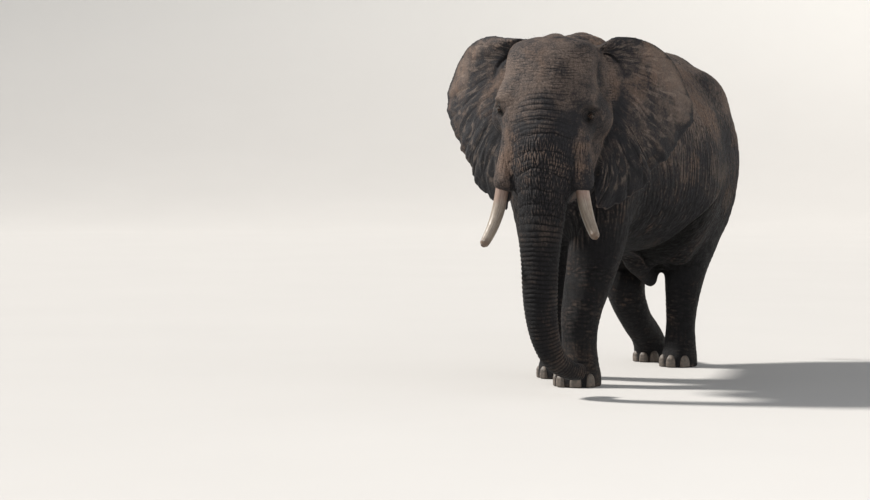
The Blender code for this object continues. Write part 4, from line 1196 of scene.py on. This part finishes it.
def make_nail(name, facing, material):
    """A horn plate set in the skin: crowned, ridged up and down, and thickest at its worn lower edge."""
    corners = np.array([vertex.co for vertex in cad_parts[name].data.vertices])
    c, s = math.cos(math.radians(facing)), math.sin(math.radians(facing))
    away, side = np.array((s, -c, 0)), np.array((c, s, 0))
    right, left = (corners @ side).max(), (corners @ side).min()
    low, top = 0.006, corners[:, 2].max()
    u, v = np.meshgrid(np.linspace(-1, 1, 33), np.linspace(0, 1, 25))
    narrow = np.sqrt(np.clip(1 - np.maximum(v - 0.25, 0) ** 2 / 0.62, 0.02, 1))
    crown = np.clip(1 - np.abs(u) ** 3.2, 0, 1) ** 0.5
    lift = np.clip(1 - np.maximum(v - 0.55, 0) ** 2 / 0.21, 0, 1) ** 0.5
    depth = (corners @ away).max() - 0.040 + 0.038 * crown * lift
    depth += 0.0007 * np.cos(u * 31) * crown + 0.0006 * np.cos(v * 19) - 0.004 * fall(v, 0.0, 0.12)
    points = (
        away * depth[..., None]
        + side * ((right + left) / 2 + u * (right - left) / 2 * 0.97 * narrow)[..., None]
        + UP * (low + v * (top - low))[..., None]
    )
    back = points - away * 0.030 * (0.4 + crown * lift)[..., None]
    nail = mesh_object(f"{name}_horn", *loft(np.concatenate([points, back[:, ::-1]], axis=1)))
    give(nail, "height", np.concatenate([v, v], axis=1).ravel())
    return finished(nail, material, "toenail", name)


def strands(name, roots, bends, lengths, radius, marks, material, *nodes, segments=6):
    """Tapered three-sided hairs in one mesh. bends: their first and last directions; marks: their places on the map."""
    roots, (first, last) = np.asarray(roots, float), (unit(bends[0]), unit(bends[1]))
    count = len(roots)
    steps = np.linspace(0, 1, segments + 1)
    heading = unit(first[:, None] * (1 - steps[None, :, None]) + last[:, None] * steps[None, :, None])
    walk = np.cumsum(heading[:, :-1] * (lengths / segments)[:, None, None], axis=1)
    path = roots[:, None] + np.concatenate([np.zeros((count, 1, 3)), walk], axis=1)
    side = unit(np.cross(heading, unit(np.array((0.31, 0.17, 0.93)))))
    other = np.cross(heading, side)
    taper = (1 - steps**2.2)[None, :, None, None] * 0.92 + 0.08
    angle = 2 * np.pi * np.arange(3) / 3
    ring = np.cos(angle)[:, None] * side[:, :, None] + np.sin(angle)[:, None] * other[:, :, None]
    points = path[:, :, None] + ring * taper * np.asarray(radius).reshape(-1, 1, 1, 1)
    per = (segments + 1) * 3
    k = np.arange(3)
    n = (k + 1) % 3
    one = np.concatenate([np.stack([r * 3 + k, r * 3 + n, r * 3 + n + 3, r * 3 + k + 3], 1) for r in range(segments)])
    quads = (one[None] + (np.arange(count) * per)[:, None, None]).reshape(-1, 4)
    ends = [(start + 2, start + 1, start) for start in range(0, count * per, per)]
    ends += [(start - 3, start - 2, start - 1) for start in range(per, count * per + 1, per)]
    body = mesh_object(name, points.reshape(-1, 3) + HOME, quads, ends)
    corner = read(body.data.loops, "vertex_index", 1, np.int32)
    patch = np.asarray(marks, float)[corner // per]
    patch[:, 0] += (corner % 3) * 0.001
    patch[:, 1] += (corner % per // 3) / segments * 0.003
    body.data.uv_layers.new(name="OFBake").data.foreach_set("uv", patch.astype(np.float32).ravel())
    return finished(body, material, "bristle", *nodes)


def wrapped(points, centre, half_height):
    """Places on an unwrap of a round body standing at centre: turn about it, and height."""
    q = points - centre
    turn = np.arctan2(q[:, 0], -q[:, 1]) / (2 * np.pi) + 0.5
    return np.column_stack([0.01 + 0.97 * turn, np.clip(0.5 + q[:, 2] / (2 * half_height), 0.0, 0.99)])


def make_tail_hair(look, material):
    """The wiry tuft: long hairs from the front and back edges of the tail's end, hanging together."""
    draw = np.random.default_rng(11)
    count = look.tuft
    low, high = (np.array(corner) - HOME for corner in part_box("tail_tuft"))
    x, y = ((low + high) / 2)[:2]
    edge = 2 * draw.beta(0.6, 0.6, count) - 1
    lift = draw.random(count) ** 1.3
    across, level = x - 0.008 + draw.normal(0, 0.007, count), high[2] + 0.035 - 0.125 * (1 - lift)
    roots = np.column_stack([across, y - 0.004 + 0.020 * edge, level])
    lengths = np.minimum(0.16 + 0.24 * draw.random(count) ** 0.7, level - low[2] - 0.06)
    wide = 0.07 * edge + draw.normal(0, 0.04, count)
    first = np.column_stack([draw.normal(0, 0.05, count), wide, -np.ones(count)])
    last = np.column_stack([draw.normal(0, 0.04, count), draw.normal(0, 0.05, count) - 0.8 * wide, -np.ones(count)])
    marks = wrapped(roots, np.array((x, y, high[2])), 0.3)
    radius = 0.0010 + 0.0007 * draw.random(count)
    return strands("tail_hairs", roots, (first, last), lengths, radius, marks, material, "tail_tuft", segments=8)


def make_body_hair(look, skin, material):
    """Sparse stiff hairs on crown, chin, trunk and back, each from a place on the finished skin."""
    draw = np.random.default_rng(7)
    points, out = read(skin.data.vertices, "co") - HOME, normals(skin)
    x, y, z = from_head(points).T
    crown = rise(z, 0.35, 0.75) * (y < 0.75)
    chin = hill(x, 0.0, 0.28) * (z < -0.62) * (z > -1.10) * (y > -0.10) * (y < 0.45)
    trunk = (y < -0.15) * rise(-z, 0.1, 0.9) * 0.30
    back = (points[:, 1] > -0.6) * rise(points[:, 2], 2.65, 2.95) * 0.16
    weight = (crown * 1.0 + chin * 3.2 + trunk + back + 1e-9) * (points[:, 2] > 0.5)
    count = look.bristles
    chosen = draw.choice(len(points), count, replace=False, p=weight / weight.sum())
    lie, out = np.array((0, -0.2, -0.55)), out[chosen]
    first = out + draw.normal(0, 0.22, (count, 3)) + 0.35 * lie
    last = out * 0.7 + draw.normal(0, 0.25, (count, 3)) + lie
    lengths = 0.014 + 0.026 * draw.random(count) + 0.035 * chin[chosen] * draw.random(count)
    marks = wrapped(points[chosen], np.array((0.2, 0.2, 1.7)), 1.7)
    radius = 0.00030 + 0.00018 * draw.random(count)
    roots = points[chosen] - out * 0.002
    return strands("body_hairs", roots, (first, last), lengths, radius, marks, material, segments=4)


def make_lashes(name, s, material):
    """Long lashes from the edge of the upper lid, a few from the lower, swept out and down over the eye."""
    draw = np.random.default_rng(23 + s)
    centre, radius = eye_place(s)
    out, up, nose = eye_axes(s)
    angle = np.concatenate([np.linspace(0.12, np.pi - 0.12, 46), np.linspace(-0.3, -np.pi + 0.3, 18)])
    count = len(angle)
    angle = angle + draw.normal(0, 0.02, count)
    upper = np.sin(angle) > 0
    u, v = 1.02 * LID_HALF * np.cos(angle), 1.14 * LID_RISE * np.sin(angle)
    v = v + LID_SLANT * u
    height = np.sqrt(np.maximum((radius + 0.006) ** 2 - u**2 - v**2, 0.0001))
    roots = centre + np.outer(height, out) + np.outer(u, nose) + np.outer(v, up)
    fan = np.outer(np.cos(angle), nose) * 0.55
    first = out + fan + np.outer(np.where(upper, -0.10, -0.45), up) + draw.normal(0, 0.07, (count, 3))
    last = out * 0.45 + fan + np.outer(np.where(upper, -0.95, -0.9), up) + draw.normal(0, 0.12, (count, 3))
    lengths = np.where(upper, 0.034, 0.016) * (0.75 + 0.4 * draw.random(count))
    marks = np.column_stack([0.5 + u * 5, 0.5 + v * 5])
    return strands(f"lashes_{name}", roots, (first, last), lengths, np.full(count, 0.00042), marks, material)


# ---------------------------------------------------------------- the studio
CAMERA_AT = np.array((9.689, -20.24, 2.063))
CAMERA_HEADING = math.radians(29.0)  # how far the view is turned from +Y towards -X
CAMERA_DIP = math.radians(2.228)  # how far the view points below the horizon
CAMERA_LENS = 101.05  # millimetres, on a frame 36 mm wide
FLOOR_FLAT, FLOOR_BEND, WALL_TOP = 44.0, 22.0, 30.0  # the flat floor's reach, the radius of its bend, and the wall


def placed(name, data):
    """A new object that holds this lamp or camera."""
    piece = bpy.data.objects.new(name, data)
    bpy.context.scene.collection.objects.link(piece)
    return piece


def aimed(piece, direction):
    """Turns a lamp or camera to look along a direction, upright."""
    piece.rotation_mode = "QUATERNION"
    piece.rotation_quaternion = Vector(direction).to_track_quat("-Z", "Y")


def make_floor(look):
    """A pale floor that curves up into a low round wall far behind everything."""
    around = 96
    turn = np.linspace(0, np.pi / 2, 25)
    radii = [0.05, 5.0, 15.0, 30.0, *(FLOOR_FLAT + FLOOR_BEND * np.sin(turn)), FLOOR_FLAT + FLOOR_BEND]
    levels = [0.0] * 4 + [*(FLOOR_BEND * (1 - np.cos(turn))), WALL_TOP]
    grid = ring_grid([hoop(radius, level, around) for radius, level in zip(radii, levels)])
    floor = mesh_object("studio_floor", *grid, [list(range(around))[::-1]])
    f = Finish("studio_paper")
    place = f.place()
    level = f.node("ShaderNodeSeparateXYZ", {"Vector": place}, "Z")
    tone = f.mix(f.noise(place, 0.35, 3.0), *(tuple(v * share for v in look.paper) for share in (0.97, 1.03)))
    # Painted light: the wall turns paler than the floor towards its top, making up for the sun that does not reach it.
    base = f.mix(f.span(level, 0.3, 12.0), tone, look.wall)
    grain = f.noise(place, 40.0, 2.0)
    floor.data.materials.append(f.surface(Base_Color=base, Roughness=0.9, Normal=f.bump(grain, 0.001, 0.2)))
    floor.visible_shadow = False


def make_light(name, kind, toward, energy, tint, size):
    """A lamp that shines from the direction toward it."""
    lamp = bpy.data.lights.new(name, kind)
    lamp.energy, lamp.color = energy, tint
    piece, direction = placed(name, lamp), unit(toward)
    if kind == "SUN":
        lamp.angle = math.radians(size)
        piece.location = direction * 30
    else:
        lamp.shape, lamp.size = "SQUARE", size
        piece.location = np.array((0, 0, 1.6)) + direction * 15
    aimed(piece, -direction)


def make_studio(look):
    """The floor, a low sun behind the left, a soft light in front, light from all round, and the camera."""
    make_floor(look)
    c, s = math.cos(CAMERA_HEADING), math.sin(CAMERA_HEADING)
    ahead, right = np.array((-s, c, 0)), np.array((c, s, 0))
    make_light("key", "SUN", -0.90 * right + 0.22 * ahead + 0.80 * UP, look.key, (1.0, 0.96, 0.90), 7.0)
    make_light("soft_front", "AREA", 0.35 * right - 0.9 * ahead + 0.55 * UP, look.fill, (0.93, 0.96, 1.0), 9.0)
    world = bpy.data.worlds.new("studio_air")
    world.use_nodes = True
    air = world.node_tree.nodes["Background"].inputs
    air["Color"].default_value, air["Strength"].default_value = (*look.air, 1.0), look.air_strength
    bpy.context.scene.world = world

    camera = bpy.data.cameras.new("camera")
    camera.lens, camera.sensor_width = CAMERA_LENS, 36.0
    camera.clip_start, camera.clip_end = 0.5, 300.0
    piece = placed("camera", camera)
    piece.location = CAMERA_AT + HOME
    aimed(piece, ahead * math.cos(CAMERA_DIP) - UP * math.sin(CAMERA_DIP))
    bpy.context.scene.camera = piece
    bpy.context.scene.view_settings.view_transform = "Standard"


# ---------------------------------------------------------------- the add-on
def tint(name, description, default):
    """A colour that a user would change."""
    return FloatVectorProperty(name=name, description=description, default=default, subtype="COLOR", min=0, max=1)


class ElephantHideLook(bpy.types.PropertyGroup):
    grid: FloatProperty(
        name="Grid", description="Step of the grid that the skin is melted on", default=0.0115, unit="LENGTH"
    )
    relief: FloatProperty(name="Relief", description="Depth of folds and cracks, 1 as in life", default=1.0)
    fullness: FloatProperty(
        name="Fullness", description="How far crests stand over the packed flesh", default=0.0, unit="LENGTH"
    )
    dark: tint("Bare hide", "Colour of bare grey hide", (0.019, 0.019, 0.022))
    # Also the colour of the painted sunlight on the upper head, back, tusk sheaths and ear tops.
    dusty: tint("Dust", "Colour of dry dust on the hide", (0.128, 0.098, 0.083))
    warm: tint("Warm patches", "Colour of reddish-brown patches", (0.150, 0.094, 0.066))
    streak: tint("Ear streaks", "Colour of the light streaks on the ears", (0.290, 0.225, 0.185))
    # Used for the cracks, and also as painted shade in creases, hollows and round the eyes.
    groove: tint("Grooves", "Colour in the bottom of folds and cracks", (0.007, 0.006, 0.006))


class ElephantPieceLook(bpy.types.PropertyGroup):
    ivory: tint("Ivory", "Colour of clean ivory", (0.275, 0.235, 0.192))
    stain: tint("Ivory stain", "Colour of stained ivory", (0.145, 0.110, 0.082))
    root: tint("Ivory root", "Colour of ivory by the lip", (0.22, 0.125, 0.10))
    core: tint("Ivory core", "Colour of the worn core and of cracks", (0.085, 0.050, 0.030))
    iris: tint("Iris", "Colour of the iris", (0.022, 0.010, 0.005))
    iris_light: tint("Iris fibres", "Colour of the lighter fibres of the iris", (0.052, 0.025, 0.010))
    horn: tint("Toenail", "Colour of the toenails", (0.048, 0.042, 0.038))
    horn_light: tint("Toenail ridges", "Colour of worn toenail ridges", (0.088, 0.072, 0.058))
    dusty: tint("Dust", "Colour of dry dust on the toenails", (0.17, 0.13, 0.105))
    hair: tint("Hair", "Colour of bristles and tail hair", (0.012, 0.010, 0.009))
    tuft: IntProperty(name="Tail hairs", description="Number of hairs in the tail's tuft", default=700, min=1)
    bristles: IntProperty(name="Bristles", description="Number of sparse hairs on the body", default=1500, min=1)


class ElephantStudioLook(bpy.types.PropertyGroup):
    paper: tint("Floor", "Colour of the floor and wall", (0.47, 0.46, 0.45))
    # Paler than the floor as painted light, for the wall that the sun leaves unlit.
    wall: tint("Wall", "Colour of the wall above the floor", (0.80, 0.79, 0.77))
    air: tint("Air", "Colour of the light from all round", (0.86, 0.92, 1.0))
    air_strength: FloatProperty(name="Air strength", description="Strength of the light from all round", default=0.34)
    key: FloatProperty(name="Key light", description="Strength of the light from behind the left", default=6.6)
    fill: FloatProperty(name="Fill light", description="Power of the soft light in front", default=330.0, unit="POWER")


class ELEPHANT_OT_skin(bpy.types.Operator):
    """One skin over head, ears, trunk, body, legs and tail"""

    bl_idname = "elephant.skin"
    bl_label = "Skin"

    def execute(self, context):
        look = context.scene.elephant_hide
        finished(make_skin(look), hide_finish(look), "hide", *FLESH)
        return {"FINISHED"}


class ELEPHANT_OT_eyes(bpy.types.Operator):
    """Both eyeballs, wet, with iris and pupil"""

    bl_idname = "elephant.eyes"
    bl_label = "Eyes"

    def execute(self, context):
        material = eye_finish(context.scene.elephant_pieces)
        for name, s in SIDES:
            make_eye(name, s, material)
        return {"FINISHED"}


class ELEPHANT_OT_tusks(bpy.types.Operator):
    """Two worn tusks of old ivory"""

    bl_idname = "elephant.tusks"
    bl_label = "Tusks"

    def execute(self, context):
        material = tusk_finish(context.scene.elephant_pieces)
        for tusk in TUSKS:
            make_tusk(*tusk, material)
        return {"FINISHED"}


class ELEPHANT_OT_toenails(bpy.types.Operator):
    """The horn plates on the front of each foot"""

    bl_idname = "elephant.toenails"
    bl_label = "Toenails"

    def execute(self, context):
        material = nail_finish(context.scene.elephant_pieces)
        for foot, facings in FOOT_NAILS:
            for k, facing in enumerate(facings, 1):
                make_nail(f"nail_{foot}_{k}", facing, material)
        return {"FINISHED"}


class ELEPHANT_OT_hairs(bpy.types.Operator):
    """Tail tuft, lashes, and the sparse bristles of crown, chin, trunk and back"""

    bl_idname = "elephant.hairs"
    bl_label = "Hairs"

    def execute(self, context):
        look = context.scene.elephant_pieces
        skin = bpy.data.objects.get("elephant_skin")
        if skin is None:
            raise RuntimeError("make the skin before the hairs that grow on it")
        material = hair_finish(look)
        make_tail_hair(look, material)
        make_body_hair(look, skin, material)
        for name, s in SIDES:
            make_lashes(name, s, material)
        return {"FINISHED"}


class ELEPHANT_OT_studio(bpy.types.Operator):
    """Pale floor and wall, lights and camera"""

    bl_idname = "elephant.studio"
    bl_label = "Studio"

    def execute(self, context):
        make_studio(context.scene.elephant_studio)
        return {"FINISHED"}


LOOKS = (
    ("elephant_hide", ElephantHideLook),
    ("elephant_pieces", ElephantPieceLook),
    ("elephant_studio", ElephantStudioLook),
)
STEPS = (
    ELEPHANT_OT_skin,
    ELEPHANT_OT_eyes,
    ELEPHANT_OT_tusks,
    ELEPHANT_OT_toenails,
    ELEPHANT_OT_hairs,
    ELEPHANT_OT_studio,
)


class ELEPHANT_PT_sidebar(bpy.types.Panel):
    bl_label = "Elephant"
    bl_idname = "ELEPHANT_PT_sidebar"
    bl_space_type = "VIEW_3D"
    bl_region_type = "UI"
    bl_category = "Elephant"

    def draw(self, context):
        for step in STEPS:
            self.layout.operator(step.bl_idname)
        for name, look in LOOKS:
            box = self.layout.box()
            for field in look.__annotations__:
                box.prop(getattr(context.scene, name), field)


def register():
    for name, look in LOOKS:
        bpy.utils.register_class(look)
        setattr(bpy.types.Scene, name, PointerProperty(type=look))
    for step in (*STEPS, ELEPHANT_PT_sidebar):
        bpy.utils.register_class(step)


def unregister():
    for step in (ELEPHANT_PT_sidebar, *reversed(STEPS)):
        bpy.utils.unregister_class(step)
    for name, look in reversed(LOOKS):
        delattr(bpy.types.Scene, name)
        bpy.utils.unregister_class(look)


def main():
    register()
    for step in STEPS:
        family, name = step.bl_idname.split(".")
        getattr(getattr(bpy.ops, family), name)()


if __name__ == "__main__":
    main()
